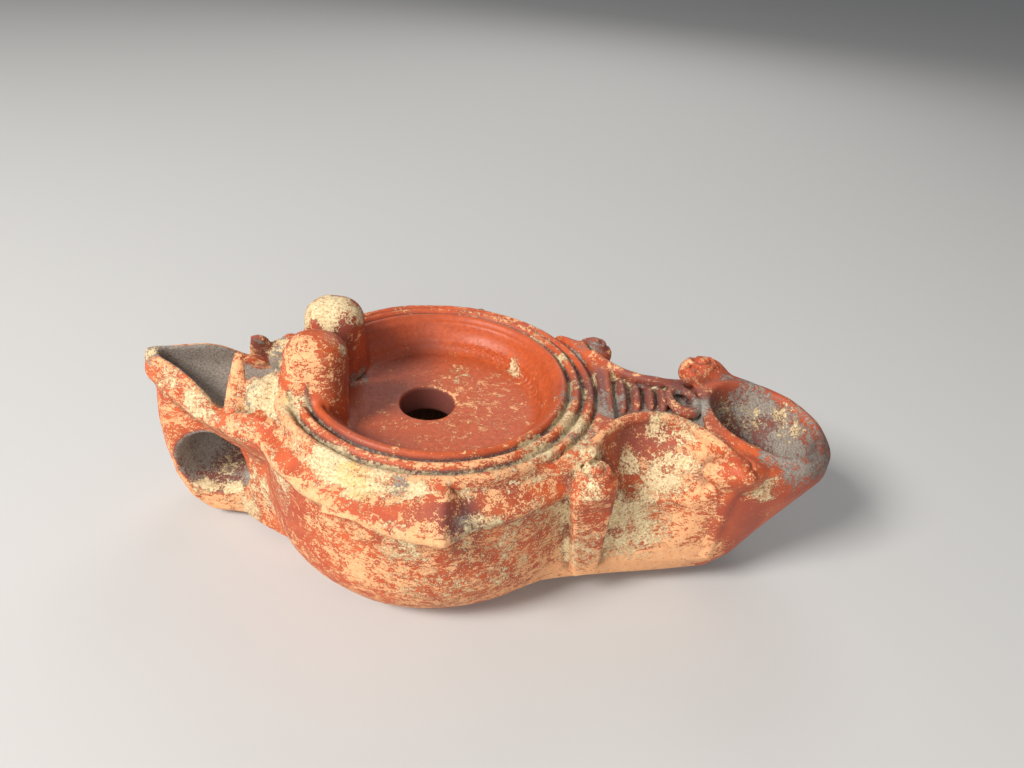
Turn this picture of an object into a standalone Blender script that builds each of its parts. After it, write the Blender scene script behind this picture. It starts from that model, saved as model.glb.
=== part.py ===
"""Roman oil lamp: a hollow, mould-made terracotta lamp with a volute nozzle and a pierced handle.

Frame: metres, +Z up, +X along the lamp to the nozzle, origin at the centre of the flat base.
The bowl is turned, the nozzle, leaf and shoulder are lofted, and the carving is joined on.
"""

import math

import bmesh
import bpy
from mathutils import Matrix

MM = 0.001

# Bowl, shoulder and base
BOWL_RADIUS = 43.0 * MM
BASE_RADIUS = 27.5 * MM
BASE_GROOVE_RADIUS = 23.0 * MM
BASE_GROOVE_WIDTH = 1.6 * MM
BASE_GROOVE_DEPTH = 0.8 * MM
BOWL_CURVE_TOP = 19.0 * MM
SEAM_LEVEL = 35.0 * MM
SEAM_PROUD = 1.0 * MM
SEAM_THICKNESS = 2.4 * MM
WALL = 4.8 * MM

# Rim rings and discus
SHOULDER_WIDTH = 2.0 * MM
SHOULDER_HEIGHT = 10.6 * MM
RIM_DROP = 3.0 * MM
RIM_FALL = 2.1 * MM
RING_COUNT = 3
RING_PITCH = 3.9 * MM
RING_HEIGHT = 1.3 * MM
RING_GAP = 1.1 * MM
DISCUS_DEPTH = 7.8 * MM
DISCUS_SLOPE_WIDTH = 5.8 * MM
FILL_HOLE_RADIUS = 7.0 * MM
FILL_HOLE_SHIFT = -2.7 * MM

# Nozzle
NOZZLE_LENGTH = 56.6 * MM
NOZZLE_HALF_WIDTH = 22.3 * MM
NOZZLE_ROOT_HALF_WIDTH = 28.5 * MM
NOZZLE_ARRIS_REACH = 27.0 * MM
NOZZLE_UNDERSIDE = 4.6 * MM
NOZZLE_TOP_SLOPE = 0.155
NOZZLE_SHOULDER_FLARE = 4.5 * MM
NOZZLE_WALL = 4.2 * MM
NECK_RISE = 0.4 * MM
WICK_HOLE_INSET = 17.3 * MM
WICK_HOLE_RADIUS_X = 13.4 * MM
WICK_HOLE_RADIUS_Y = 14.2 * MM
WICK_HOLE_DEPTH = 21.0 * MM
WICK_HOLE_TAPER = 0.5
WICK_HOLE_LEAN = 5.2 * MM
WICK_LIP_WIDTH = 2.2 * MM
WICK_LIP_HEIGHT = 0.9 * MM

# Scooped flanks of the nozzle, and the relief in the channel of its neck
SCOOP_REACH_X = 12.0 * MM
SCOOP_Y = 30.0 * MM
SCOOP_HALF_LENGTH = 17.8 * MM
SCOOP_REACH = 22.2 * MM
SCOOP_DEPTH = 14.6 * MM
RIDGE_WIDTH = 1.5 * MM
CHANNEL_DEPTH = 2.2 * MM
CHANNEL_GAP = 2.5 * MM
CHANNEL_LENGTH = 20.5 * MM
TONGUE_COUNT = 3
TONGUE_PITCH = 4.2 * MM
TONGUE_HALF_WIDTH = 1.9 * MM
EYE_RADIUS_X = 3.4 * MM
EYE_RADIUS_Y = 4.4 * MM
EYE_THICKNESS = 1.3 * MM

# Volutes
BOWL_VOLUTE_GAP = 4.4 * MM
BOWL_VOLUTE_Y = 27.0 * MM
BOWL_VOLUTE_RADIUS = 5.4 * MM
BOWL_VOLUTE_DROP = 1.0 * MM
PILASTER_FOOT_LEVEL = 10.0 * MM
PILASTER_FOOT_RADIUS = 3.2 * MM
NOZZLE_VOLUTE_INSET = 0.5 * MM
NOZZLE_VOLUTE_RADIUS = 5.0 * MM
NOZZLE_VOLUTE_RISE = 1.6 * MM

# Side lugs
LUG_ANGLE = math.radians(81.0)
LUG_REACH = 6.6 * MM
LUG_HANDLE_SPREAD = math.radians(38.0)
LUG_NOZZLE_SPREAD = math.radians(16.0)
LUG_TIP_RISE = 1.6 * MM

# Handle and finger hole
HANDLE_REACH = 30.4 * MM
HANDLE_FOOT_LEVEL = 1.2 * MM
HANDLE_HALF_THICKNESS = 10.2 * MM
HANDLE_BACK_ROUND = 6.0 * MM
HANDLE_BACK_SWEEP = 21.0 * MM
HANDLE_ROOT_FLARE = 13.0 * MM
FINGER_HOLE_REACH = 13.4 * MM
FINGER_HOLE_LEVEL = 19.2 * MM
FINGER_HOLE_RADIUS = 9.2 * MM
FINGER_HOLE_FLARE = 0.9 * MM

# Leaf that tops the handle, its trough, petals and lobes
LEAF_TIP_HALF_WIDTH = 3.4 * MM
LEAF_ROOT_DEPTH = 9.0 * MM
LEAF_ROOT_HALF_WIDTH = 25.0 * MM
LEAF_CURVE = 0.9
LEAF_INSET = 4.4 * MM
LEAF_TIP_HEIGHT = 11.2 * MM
LEAF_ROOT_HEIGHT = 6.2 * MM
LEAF_DIP_REACH = 9.0 * MM
LEAF_DIP_WIDTH = 5.2 * MM
LEAF_DIP_DEPTH = 4.4 * MM
TROUGH_WALL = 2.2 * MM
TROUGH_FLOOR_HEIGHT = 1.4 * MM
TROUGH_RISE = 5.4 * MM
TROUGH_TAIL_GAP = 3.4 * MM
PETAL_REACH = 4.2 * MM
PETAL_Y = 10.8 * MM
PETAL_HALF_LENGTH = 4.6 * MM
PETAL_HALF_THICKNESS = 2.1 * MM
PETAL_HEIGHT = 14.4 * MM
PETAL_LEAN = 6.0 * MM
LOBE_INSET = 13.2 * MM
LOBE_Y = 8.8 * MM
LOBE_HALF_LENGTH = 8.0 * MM
LOBE_HALF_WIDTH = 6.8 * MM
LOBE_HEIGHT = 14.4 * MM
LOBE_SPREAD = 2.0 * MM

# Levels and places that follow from the sizes above
RIM_RADIUS = BOWL_RADIUS - SHOULDER_WIDTH
RIM_LEVEL = SEAM_LEVEL + SHOULDER_HEIGHT
LIP_RADIUS = RIM_RADIUS - RING_COUNT * RING_PITCH
DISCUS_FLOOR_RADIUS = LIP_RADIUS - DISCUS_SLOPE_WIDTH
NECK_LEVEL = RIM_LEVEL + NECK_RISE
NOZZLE_ROOT_X = BOWL_RADIUS * 0.56
NOZZLE_ARRIS_X = BOWL_RADIUS + NOZZLE_ARRIS_REACH
NOZZLE_TIP_X = BOWL_RADIUS + NOZZLE_LENGTH
WICK_HOLE_X = NOZZLE_TIP_X - WICK_HOLE_INSET
SCOOP_X = BOWL_RADIUS + SCOOP_REACH_X
CHANNEL_START_X = RIM_RADIUS + CHANNEL_GAP
HANDLE_TIP_X = -(BOWL_RADIUS + HANDLE_REACH)
FINGER_HOLE_X = -(BOWL_RADIUS + FINGER_HOLE_REACH)
LEAF_ROOT_X = -(BOWL_RADIUS - LEAF_ROOT_DEPTH)
LEAF_DIP_X = -(BOWL_RADIUS + LEAF_DIP_REACH)
TROUGH_FLOOR_LEVEL = SEAM_LEVEL + TROUGH_FLOOR_HEIGHT
TROUGH_TAIL_X = HANDLE_TIP_X + TROUGH_TAIL_GAP
TROUGH_HEAD_X = -RIM_RADIUS
PETAL_X = -(BOWL_RADIUS + PETAL_REACH)
LOBE_X = -(RIM_RADIUS - LOBE_INSET)
LOBE_TOP = RIM_LEVEL + LOBE_HEIGHT

# Fineness of the turned and rounded faces
TURN_STEPS = 56
HOLLOW_STEPS = 32
HOLE_STEPS = 28
OVAL_STEPS = 18
SCOOP_STEPS = 20
DISH_CLEARANCE = 6.0 * MM

# Fired clay with a worn red slip
CLAY_COLOUR = (0.56, 0.19, 0.085, 1.0)
CLAY_ROUGHNESS = 0.62
SMOOTH_ANGLE = math.radians(38.0)
WELD_DISTANCE = 0.00001


def new_collection(name):
    """Make a collection in the scene."""
    collection = bpy.data.collections.new(name)
    bpy.context.scene.collection.children.link(collection)
    return collection


def mesh_object(name, build, collection):
    """Make an object from a bmesh, shaded smooth with its arrises kept sharp."""
    bmesh.ops.recalc_face_normals(build, faces=build.faces)
    mesh = bpy.data.meshes.new(name)
    build.to_mesh(mesh)
    build.free()
    mesh.shade_smooth()
    mesh.set_sharp_from_angle(angle=SMOOTH_ANGLE)
    shape = bpy.data.objects.new(name, mesh)
    collection.objects.link(shape)
    return shape


def turned(name, profile, steps, collection):
    """Turn a profile of (radius, height) points, given from the top to the bottom."""
    mesh = bpy.data.meshes.new(name)
    points = [(radius, 0.0, height) for radius, height in profile]
    edges = [(i, i + 1) for i in range(len(points) - 1)]
    mesh.from_pydata(points, edges, [])
    shape = bpy.data.objects.new(name, mesh)
    collection.objects.link(shape)
    screw = shape.modifiers.new("Turn", "SCREW")
    screw.steps = steps
    screw.render_steps = steps
    screw.use_merge_vertices = True
    screw.merge_threshold = WELD_DISTANCE
    screw.use_smooth_shade = True
    return shape


def loft(name, rings, collection, mirrored=False):
    """Join closed rings with the same number of points, and cap the first and the last."""
    build = bmesh.new()
    rows = [[build.verts.new(point) for point in ring] for ring in rings]
    count = len(rings[0])
    for low, high in zip(rows, rows[1:]):
        for i in range(count):
            after = (i + 1) % count
            build.faces.new((low[i], low[after], high[after], high[i]))
    for row in (rows[0], rows[-1]):
        if mirrored:
            cap_across(build, row)
        else:
            build.faces.new(row)
    return mesh_object(name, build, collection)


def cap_across(build, row):
    """Close a mirrored outline with strips that run straight across it."""
    last = len(row) - 1
    for i in range(len(row) // 2):
        strip = [row[i], row[i + 1], row[last - i - 1], row[last - i]]
        corners = list(dict.fromkeys(strip))
        if len(corners) > 2:
            build.faces.new(corners)


def ball(name, centre, radii, collection, segments=16):
    """Make an ellipsoid about a centre."""
    build = bmesh.new()
    place = Matrix.Translation(centre) @ Matrix.Diagonal((*radii, 1.0))
    bmesh.ops.create_uvsphere(
        build, u_segments=segments, v_segments=segments // 2 + 1, radius=1.0, matrix=place
    )
    return mesh_object(name, build, collection)


def mix(start, end, share):
    """Read the value that lies a share of the way from start to end."""
    return start + (end - start) * share


def ring_profile():
    """Points of the moulded rings, from the discus lip out to the edge of the rim."""
    points = []
    for ring in range(RING_COUNT):
        inner = LIP_RADIUS + ring * RING_PITCH + RING_GAP / 2
        crest_width = RING_PITCH - RING_GAP
        fall = RIM_FALL * (ring / max(1, RING_COUNT - 1)) ** 2
        for share, rise in ((0.0, 0.0), (0.25, 0.8), (0.55, 1.0), (0.85, 0.7), (1.0, 0.0)):
            level = RIM_LEVEL - fall + rise * RING_HEIGHT
            points.append((inner + share * crest_width, level))
    points[-1] = (RIM_RADIUS + RING_GAP / 2, RIM_LEVEL - RIM_DROP - RING_GAP / 2)
    return points


def bowl_curve(radius, floor_radius, floor_level, top_level, count):
    """Quarter of an ellipse, down the wall from its widest place to the floor."""
    points = []
    for i in range(count + 1):
        angle = math.pi / 2 * i / count
        across = floor_radius + (radius - floor_radius) * math.cos(angle)
        height = top_level - (top_level - floor_level) * math.sin(angle)
        points.append((across, height))
    return points


def make_bowl(collection):
    """The solid bowl up to the rim: crown, shoulder, seam, wall and base."""
    crown = RIM_LEVEL + 2 * RING_HEIGHT
    seam_radius = BOWL_RADIUS + SEAM_PROUD
    edge = RIM_LEVEL - RIM_DROP
    profile = [(0.0, crown), (RIM_RADIUS, crown), (RIM_RADIUS, edge)]
    profile.append((mix(RIM_RADIUS, seam_radius, 0.45), mix(edge, SEAM_LEVEL, 0.5)))
    profile.append((seam_radius, SEAM_LEVEL + SEAM_THICKNESS / 2))
    profile.append((seam_radius, SEAM_LEVEL - SEAM_THICKNESS / 2))
    profile.append((BOWL_RADIUS, SEAM_LEVEL - SEAM_THICKNESS))
    profile += bowl_curve(BOWL_RADIUS, BASE_RADIUS, 0.0, BOWL_CURVE_TOP, 8)
    groove_out = BASE_GROOVE_RADIUS + BASE_GROOVE_WIDTH / 2
    groove_in = BASE_GROOVE_RADIUS - BASE_GROOVE_WIDTH / 2
    profile += [(groove_out, 0.0), (BASE_GROOVE_RADIUS, BASE_GROOVE_DEPTH), (groove_in, 0.0)]
    profile.append((0.0, 0.0))
    return turned("lamp", profile, TURN_STEPS, collection)


def make_dish(collection):
    """The space over the discus and its rings, which is cut out of the joined solids."""
    floor = RIM_LEVEL - DISCUS_DEPTH
    surface = [(0.0, floor), (DISCUS_FLOOR_RADIUS, floor)]
    for share, rise in ((0.35, 0.1), (0.7, 0.4), (0.95, 0.82)):
        surface.append((DISCUS_FLOOR_RADIUS + share * DISCUS_SLOPE_WIDTH, floor + rise * DISCUS_DEPTH))
    surface += ring_profile()
    ceiling = RIM_LEVEL + DISH_CLEARANCE
    surface += [(surface[-1][0], ceiling), (0.0, ceiling)]
    return turned("dish", surface[::-1], TURN_STEPS, collection)


def make_reservoir(collection):
    """The hollow of the bowl, a wall's thickness inside it."""
    roof = RIM_LEVEL - DISCUS_DEPTH - WALL
    shoulder = RIM_LEVEL - RIM_DROP - WALL
    profile = [(0.0, roof), (DISCUS_FLOOR_RADIUS, roof)]
    profile.append((RIM_RADIUS - 2 * RING_PITCH, shoulder))
    profile.append((RIM_RADIUS - WALL, shoulder))
    profile.append((BOWL_RADIUS - WALL, SEAM_LEVEL - WALL / 2))
    profile += bowl_curve(BOWL_RADIUS - WALL, BASE_RADIUS - WALL / 2, WALL, BOWL_CURVE_TOP, 5)
    profile.append((0.0, WALL))
    return turned("reservoir", profile, HOLLOW_STEPS, collection)


def nozzle_top(x):
    """Level of the nozzle's upper face, which falls towards the tip."""
    return NECK_LEVEL - max(0.0, x - SCOOP_X) * NOZZLE_TOP_SLOPE


def nozzle_ring(level, width_share, tip_share, inset):
    """Plan outline of the nozzle at one level: flared root, oval end, level None on top."""
    half_width = NOZZLE_HALF_WIDTH * width_share - inset
    end_length = (NOZZLE_TIP_X - NOZZLE_ARRIS_X) * tip_share - inset * 1.5
    root_half_width = NOZZLE_ROOT_HALF_WIDTH - inset
    if level is None:
        root_half_width = half_width + NOZZLE_SHOULDER_FLARE
    half = []
    for i in range(6):
        share = i / 6
        half.append((
            mix(NOZZLE_ROOT_X, NOZZLE_ARRIS_X, share),
            mix(root_half_width, half_width, share),
        ))
    for i in range(9):
        angle = math.pi / 2 * i / 8
        x = NOZZLE_ARRIS_X + end_length * math.sin(angle) ** 1.1
        half.append((x, half_width * math.cos(angle) ** 0.84))
    outline = half + [(x, -y) for x, y in reversed(half[:-1])]
    ring = []
    for x, y in outline:
        height = nozzle_top(x) if level is None else level
        ring.append((x, y, height))
    return ring


def nozzle_levels():
    """Shares of the nozzle's depth, width and end length, from its underside to its upper edge."""
    return (
        (0.0, 0.66, 0.12),
        (0.06, 0.80, 0.28),
        (0.22, 0.92, 0.46),
        (0.46, 0.97, 0.66),
        (0.70, 1.0, 0.86),
        (0.86, 1.01, 1.0),
    )


def make_nozzle(collection):
    """The solid nozzle: a deep keel that runs up to the tip like a prow."""
    rings = []
    depth = nozzle_top(NOZZLE_TIP_X) - NOZZLE_UNDERSIDE
    for share, width_share, tip_share in nozzle_levels():
        level = NOZZLE_UNDERSIDE + share * depth
        rings.append(nozzle_ring(level, width_share, tip_share, 0.0))
    rings.append(nozzle_ring(None, 0.96, 1.0, 0.0))
    return loft("nozzle", rings, collection, mirrored=True)


def make_nozzle_hollow(collection):
    """The hollow of the nozzle, a wall's thickness inside it."""
    rings = []
    floor = NOZZLE_UNDERSIDE + NOZZLE_WALL
    roof = NECK_LEVEL - SCOOP_DEPTH - NOZZLE_WALL
    for share, width_share, tip_share in nozzle_levels()[:-1]:
        level = mix(floor, roof, share / 0.70)
        rings.append(nozzle_ring(level, width_share, tip_share, NOZZLE_WALL))
    return loft("nozzle_hollow", rings, collection, mirrored=True)


def ridge_half_width(x):
    """Half the width of the neck between the two scooped flanks."""
    share = min(1.0, abs(x - SCOOP_X) / SCOOP_HALF_LENGTH)
    return SCOOP_Y - SCOOP_REACH * math.sqrt(1.0 - share * share)


def make_channel(collection):
    """The sunk channel on the neck, between the ridges of the flanks."""
    stations = 9
    half = []
    for i in range(stations):
        x = CHANNEL_START_X + CHANNEL_LENGTH * i / (stations - 1)
        half.append((x, ridge_half_width(x) - RIDGE_WIDTH))
    outline = half + [(x, -y) for x, y in reversed(half)]
    low = [(x, y, nozzle_top(x) - CHANNEL_DEPTH) for x, y in outline]
    high = [(x, y, nozzle_top(x) + CHANNEL_DEPTH) for x, y in outline]
    return loft("channel", [low, high], collection, mirrored=True)


def make_eye(collection):
    """The oval ring that closes the neck's relief."""
    eye_x = CHANNEL_START_X + (TONGUE_COUNT + 1) * TONGUE_PITCH
    bpy.ops.mesh.primitive_torus_add(
        major_segments=OVAL_STEPS,
        minor_segments=6,
        major_radius=EYE_RADIUS_X,
        minor_radius=EYE_THICKNESS,
        location=(eye_x, 0.0, nozzle_top(eye_x) - CHANNEL_DEPTH * 0.6),
    )
    eye = bpy.context.object
    eye.name = "eye"
    eye.data.transform(Matrix.Diagonal((1.0, EYE_RADIUS_Y / EYE_RADIUS_X, 1.0, 1.0)))
    eye.data.shade_smooth()
    for home in list(eye.users_collection):
        home.objects.unlink(eye)
    collection.objects.link(eye)
    return eye


def make_neck_relief(collection):
    """The row of tongues across the neck, with the oval ring after them."""
    pieces = []
    for i in range(TONGUE_COUNT):
        x = CHANNEL_START_X + (i + 0.6) * TONGUE_PITCH
        centre = (x, 0.0, nozzle_top(x) - CHANNEL_DEPTH)
        radii = (TONGUE_HALF_WIDTH, ridge_half_width(x) - RIDGE_WIDTH, CHANNEL_DEPTH)
        pieces.append(ball(f"tongue_{i + 1}", centre, radii, collection, 12))
    pieces.append(make_eye(collection))
    return pieces


def make_wick_lip(collection):
    """The low lip around the wick hole, tilted with the nozzle's upper face."""
    rings = [
        wick_ring(1.0, WICK_LIP_WIDTH, -CHANNEL_DEPTH),
        wick_ring(1.0, WICK_LIP_WIDTH, WICK_LIP_HEIGHT * 0.3),
        wick_ring(1.0, WICK_LIP_WIDTH / 2, WICK_LIP_HEIGHT),
    ]
    return loft("wick_lip", rings, collection)


def wick_ring(scale, margin, rise, shift=0.0):
    """Oval around the wick hole, lifted by a height over the sloping upper face."""
    ring = []
    for i in range(HOLE_STEPS):
        angle = 2 * math.pi * i / HOLE_STEPS
        x = WICK_HOLE_X - shift + (WICK_HOLE_RADIUS_X * scale + margin) * math.cos(angle)
        y = (WICK_HOLE_RADIUS_Y * scale + margin) * math.sin(angle)
        ring.append((x, y, nozzle_top(x) + rise))
    return ring


def make_wick_hole(collection):
    """The wick hole, which narrows and leans back as it runs down into the hollow nozzle."""
    rings = []
    for depth_share in (1.0, 0.65, 0.35, 0.0):
        bend = depth_share**1.5
        scale = mix(1.0, WICK_HOLE_TAPER, bend)
        rings.append(wick_ring(scale, 0.0, -WICK_HOLE_DEPTH * depth_share, WICK_HOLE_LEAN * bend))
    rings.append(wick_ring(1.0, WICK_LIP_HEIGHT, 2 * WICK_LIP_HEIGHT))
    return loft("wick_hole", rings, collection)


def make_bowl_volute(side, name, collection):
    """A pilaster that climbs the side of the bowl and swells into a round volute."""
    x = BOWL_RADIUS - BOWL_VOLUTE_GAP
    y = side * BOWL_VOLUTE_Y
    head_level = RIM_LEVEL - BOWL_VOLUTE_DROP - BOWL_VOLUTE_RADIUS
    inward = (BOWL_RADIUS - PILASTER_FOOT_RADIUS / 2) / math.hypot(x, y)
    rings = []
    for share, swell in ((0.0, 0.0), (0.4, 0.3), (0.75, 0.7), (1.0, 1.0)):
        lean = mix(inward, 1.0, share)
        centre = (x * lean, y * lean, mix(PILASTER_FOOT_LEVEL, head_level, share))
        radius = mix(PILASTER_FOOT_RADIUS, BOWL_VOLUTE_RADIUS, swell)
        rings.append(oval_ring(centre, radius, radius, OVAL_STEPS))
    for degrees in (30, 56, 80):
        angle = math.radians(degrees)
        centre = (x, y, head_level + BOWL_VOLUTE_RADIUS * math.sin(angle))
        radius = BOWL_VOLUTE_RADIUS * math.cos(angle)
        rings.append(oval_ring(centre, radius, radius, OVAL_STEPS))
    return loft(f"bowl_volute_{name}", rings, collection)


def make_nozzle_volute(side, name, collection):
    """The knob at the corner of the nozzle, beside the wick hole."""
    thickness = NOZZLE_VOLUTE_RADIUS * 0.8
    level = nozzle_top(NOZZLE_ARRIS_X) + NOZZLE_VOLUTE_RISE - thickness
    centre = (NOZZLE_ARRIS_X, side * (NOZZLE_HALF_WIDTH - NOZZLE_VOLUTE_INSET), level)
    radii = (NOZZLE_VOLUTE_RADIUS, thickness, thickness)
    return ball(f"nozzle_volute_{name}", centre, radii, collection, 14)


def lug_share(angle):
    """How far the lug stands out at an angle around the bowl, from 0 to 1 at its point."""
    turn = angle - LUG_ANGLE
    spread = LUG_HANDLE_SPREAD if turn > 0 else LUG_NOZZLE_SPREAD
    return max(0.0, 1.0 - abs(turn) / spread) ** 1.3


def make_lug(side, name, collection):
    """A pointed lug that flares out of the shoulder's seam."""
    root = RIM_RADIUS - WALL * 0.8
    angles = [LUG_ANGLE - LUG_NOZZLE_SPREAD * (1.0 - i / 5) for i in range(5)]
    angles += [LUG_ANGLE + LUG_HANDLE_SPREAD * i / 10 for i in range(11)]
    rings = []
    for angle in angles:
        out = lug_share(angle)
        reach = BOWL_RADIUS + SEAM_PROUD * 0.8 + LUG_REACH * out
        edge = SEAM_LEVEL + SEAM_THICKNESS * 0.4 + LUG_TIP_RISE * out
        section = (
            (root, RIM_LEVEL - RIM_DROP - LUG_TIP_RISE),
            (mix(root, reach, 0.55), mix(RIM_LEVEL - RIM_DROP, edge, 0.42)),
            (reach, edge),
            (reach - SEAM_PROUD / 3, edge - SEAM_THICKNESS * 0.8),
            (root, SEAM_LEVEL - SEAM_THICKNESS * 1.6),
        )
        ring = []
        for radius, height in section:
            ring.append((radius * math.cos(angle), side * radius * math.sin(angle), height))
        rings.append(ring)
    return loft(f"lug_{name}", rings, collection)


def make_handle(collection):
    """The thick handle under the leaf: level outlines that run into the bowl."""
    root = -BOWL_RADIUS / 2
    rings = []
    for height_share, sweep_share, width_share in (
        (0.0, 0.86, 0.88),
        (0.05, 0.5, 0.98),
        (0.17, 0.3, 1.0),
        (0.35, 0.19, 1.0),
        (0.61, 0.13, 1.0),
        (0.85, 0.11, 0.94),
        (1.0, 0.12, 0.8),
    ):
        back = HANDLE_TIP_X + HANDLE_BACK_SWEEP * sweep_share
        level = mix(HANDLE_FOOT_LEVEL, SEAM_LEVEL, height_share)
        rings.append(handle_ring(back, root, width_share, level))
    return loft("handle", rings, collection, mirrored=True)


def handle_ring(back, root, width_share, level):
    """Plan outline of the handle at one level: a rounded back and sides flared to the bowl."""
    half = []
    for i in range(6):
        angle = math.pi / 2 * i / 5
        x = back + HANDLE_BACK_ROUND * (1.0 - math.cos(angle))
        half.append((x, HANDLE_HALF_THICKNESS * width_share * math.sin(angle) ** 0.8))
    flare_start = FINGER_HOLE_X + FINGER_HOLE_RADIUS * 0.8
    for i in range(1, 7):
        share = i / 6
        x = mix(flare_start, root, share)
        flare = HANDLE_ROOT_FLARE * share**1.2
        half.append((x, HANDLE_HALF_THICKNESS * width_share + flare))
    outline = half + [(x, -y) for x, y in reversed(half[1:])]
    return [(x, y, level) for x, y in outline[::-1]]


def make_finger_hole(collection):
    """The hole pierced through the handle, flared a little at both faces."""
    rings = []
    far = HANDLE_HALF_THICKNESS * 1.6
    mouth = HANDLE_HALF_THICKNESS * 1.12
    waist = HANDLE_HALF_THICKNESS * 0.45
    wide = FINGER_HOLE_RADIUS + FINGER_HOLE_FLARE
    for y, radius in (
        (-far, wide * 1.3),
        (-mouth, wide),
        (-waist, FINGER_HOLE_RADIUS),
        (waist, FINGER_HOLE_RADIUS),
        (mouth, wide),
        (far, wide * 1.3),
    ):
        ring = []
        for i in range(HOLE_STEPS):
            angle = 2 * math.pi * i / HOLE_STEPS
            x = FINGER_HOLE_X + radius * math.cos(angle)
            ring.append((x, y, FINGER_HOLE_LEVEL + radius * math.sin(angle)))
        rings.append(ring)
    return loft("finger_hole", rings, collection)


def leaf_half_width(x):
    """Half the width of the leaf that tops the handle, from its tip to the shoulder."""
    share = max(0.0, (x - HANDLE_TIP_X) / (LEAF_ROOT_X - HANDLE_TIP_X))
    return mix(LEAF_TIP_HALF_WIDTH, LEAF_ROOT_HALF_WIDTH, share**LEAF_CURVE)


def leaf_ring(first_x, last_x, inset, level):
    """Plan outline of the leaf at one level, given by a function of x."""
    stations = 13
    half = []
    for i in range(stations):
        x = mix(first_x, last_x, i / (stations - 1))
        half.append((x, max(LEAF_TIP_HALF_WIDTH / 3, leaf_half_width(x) - inset)))
    outline = half + [(x, -y) for x, y in reversed(half)]
    return [(x, y, level(x)) for x, y in outline]


def leaf_top(x):
    """Level of the trough's edge: it falls from the tip and dips before the petals."""
    share = (x - HANDLE_TIP_X) / (LEAF_ROOT_X - HANDLE_TIP_X)
    dip = math.exp(-(((x - LEAF_DIP_X) / LEAF_DIP_WIDTH) ** 2))
    height = mix(LEAF_TIP_HEIGHT, LEAF_ROOT_HEIGHT, share)
    return SEAM_LEVEL + height - LEAF_DIP_DEPTH * dip


def trough_floor(x):
    """Level of the trough's floor, lowest in the middle."""
    middle = mix(TROUGH_TAIL_X, TROUGH_HEAD_X, 0.6)
    share = (x - middle) / (TROUGH_TAIL_X - middle)
    return TROUGH_FLOOR_LEVEL + TROUGH_RISE * share * share


def make_leaf(collection):
    """The leaf-shaped top of the handle, widest at the level of the seam."""
    root = LEAF_ROOT_X + WALL
    tip = HANDLE_TIP_X
    inset = LEAF_INSET
    low = SEAM_LEVEL - 3 * SEAM_THICKNESS
    rings = [
        leaf_ring(tip + inset, root, inset * 1.5, lambda x: low),
        leaf_ring(tip + SEAM_THICKNESS, root, SEAM_PROUD, lambda x: SEAM_LEVEL - SEAM_THICKNESS),
        leaf_ring(tip + SEAM_PROUD, root, 0.0, lambda x: SEAM_LEVEL + SEAM_THICKNESS / 2),
        leaf_ring(tip, root, inset, leaf_top),
    ]
    return loft("leaf", rings, collection, mirrored=True)


def make_trough(collection):
    """The sunk trough of the leaf, which rises again between the petals."""
    inset = LEAF_INSET + TROUGH_WALL
    tail = TROUGH_TAIL_X
    rings = [
        leaf_ring(tail + TROUGH_WALL, TROUGH_HEAD_X - TROUGH_WALL, inset * 1.4, trough_floor),
        leaf_ring(tail, TROUGH_HEAD_X, inset, leaf_top),
        leaf_ring(tail, TROUGH_HEAD_X, inset * 0.9, lambda x: leaf_top(x) + DISH_CLEARANCE),
    ]
    return loft("trough", rings, collection, mirrored=True)


def oval_ring(centre, radius_x, radius_y, steps):
    """Points of a level oval."""
    ring = []
    for i in range(steps):
        angle = 2 * math.pi * (i + 0.5) / steps
        x = centre[0] + radius_x * math.cos(angle)
        ring.append((x, centre[1] + radius_y * math.sin(angle), centre[2]))
    return ring


def make_petal(side, name, collection):
    """A pointed petal that stands on the trough's edge and leans inwards."""
    rings = []
    foot_level = SEAM_LEVEL
    for share in (0.0, 0.35, 0.65, 0.88, 1.0):
        slim = mix(1.0, 0.34, share) if share < 1.0 else 0.2
        y = side * (PETAL_Y - PETAL_LEAN * share**1.4)
        centre = (PETAL_X, y, foot_level + PETAL_HEIGHT * share)
        rings.append(oval_ring(centre, PETAL_HALF_LENGTH * slim, PETAL_HALF_THICKNESS * slim, 12))
    return loft(f"petal_{name}", rings, collection)


def make_lobe(side, name, collection):
    """A thumb-shaped lobe: a stem that spreads across the rings, and a round top."""
    rings = []
    foot_level = RIM_LEVEL - DISCUS_DEPTH * 0.9
    crown = LOBE_TOP - LOBE_HALF_WIDTH
    for share in (0.0, 0.3, 0.6, 1.0):
        spread = LOBE_SPREAD * (1.0 - share) ** 1.5
        centre = (LOBE_X - spread, side * (LOBE_Y + spread), mix(foot_level, crown, share))
        wide = LOBE_HALF_LENGTH + spread / 2
        rings.append(oval_ring(centre, wide, LOBE_HALF_WIDTH + spread / 2, OVAL_STEPS))
    for degrees in (25, 48, 68, 84):
        angle = math.radians(degrees)
        centre = (LOBE_X, side * LOBE_Y, crown + LOBE_HALF_WIDTH * math.sin(angle))
        wide = LOBE_HALF_LENGTH * math.cos(angle)
        deep = LOBE_HALF_WIDTH * math.cos(angle)
        rings.append(oval_ring(centre, wide, deep, OVAL_STEPS))
    return loft(f"lobe_{name}", rings, collection)


def make_fill_hole(collection):
    """The round hole in the discus through which the lamp is filled."""
    build = bmesh.new()
    place = Matrix.Translation((FILL_HOLE_SHIFT, 0.0, RIM_LEVEL - DISCUS_DEPTH - WALL / 2))
    bmesh.ops.create_cone(
        build,
        cap_ends=True,
        segments=HOLE_STEPS,
        radius1=FILL_HOLE_RADIUS,
        radius2=FILL_HOLE_RADIUS,
        depth=WALL * 2.4,
        matrix=place,
    )
    return mesh_object("fill_hole", build, collection)


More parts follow.
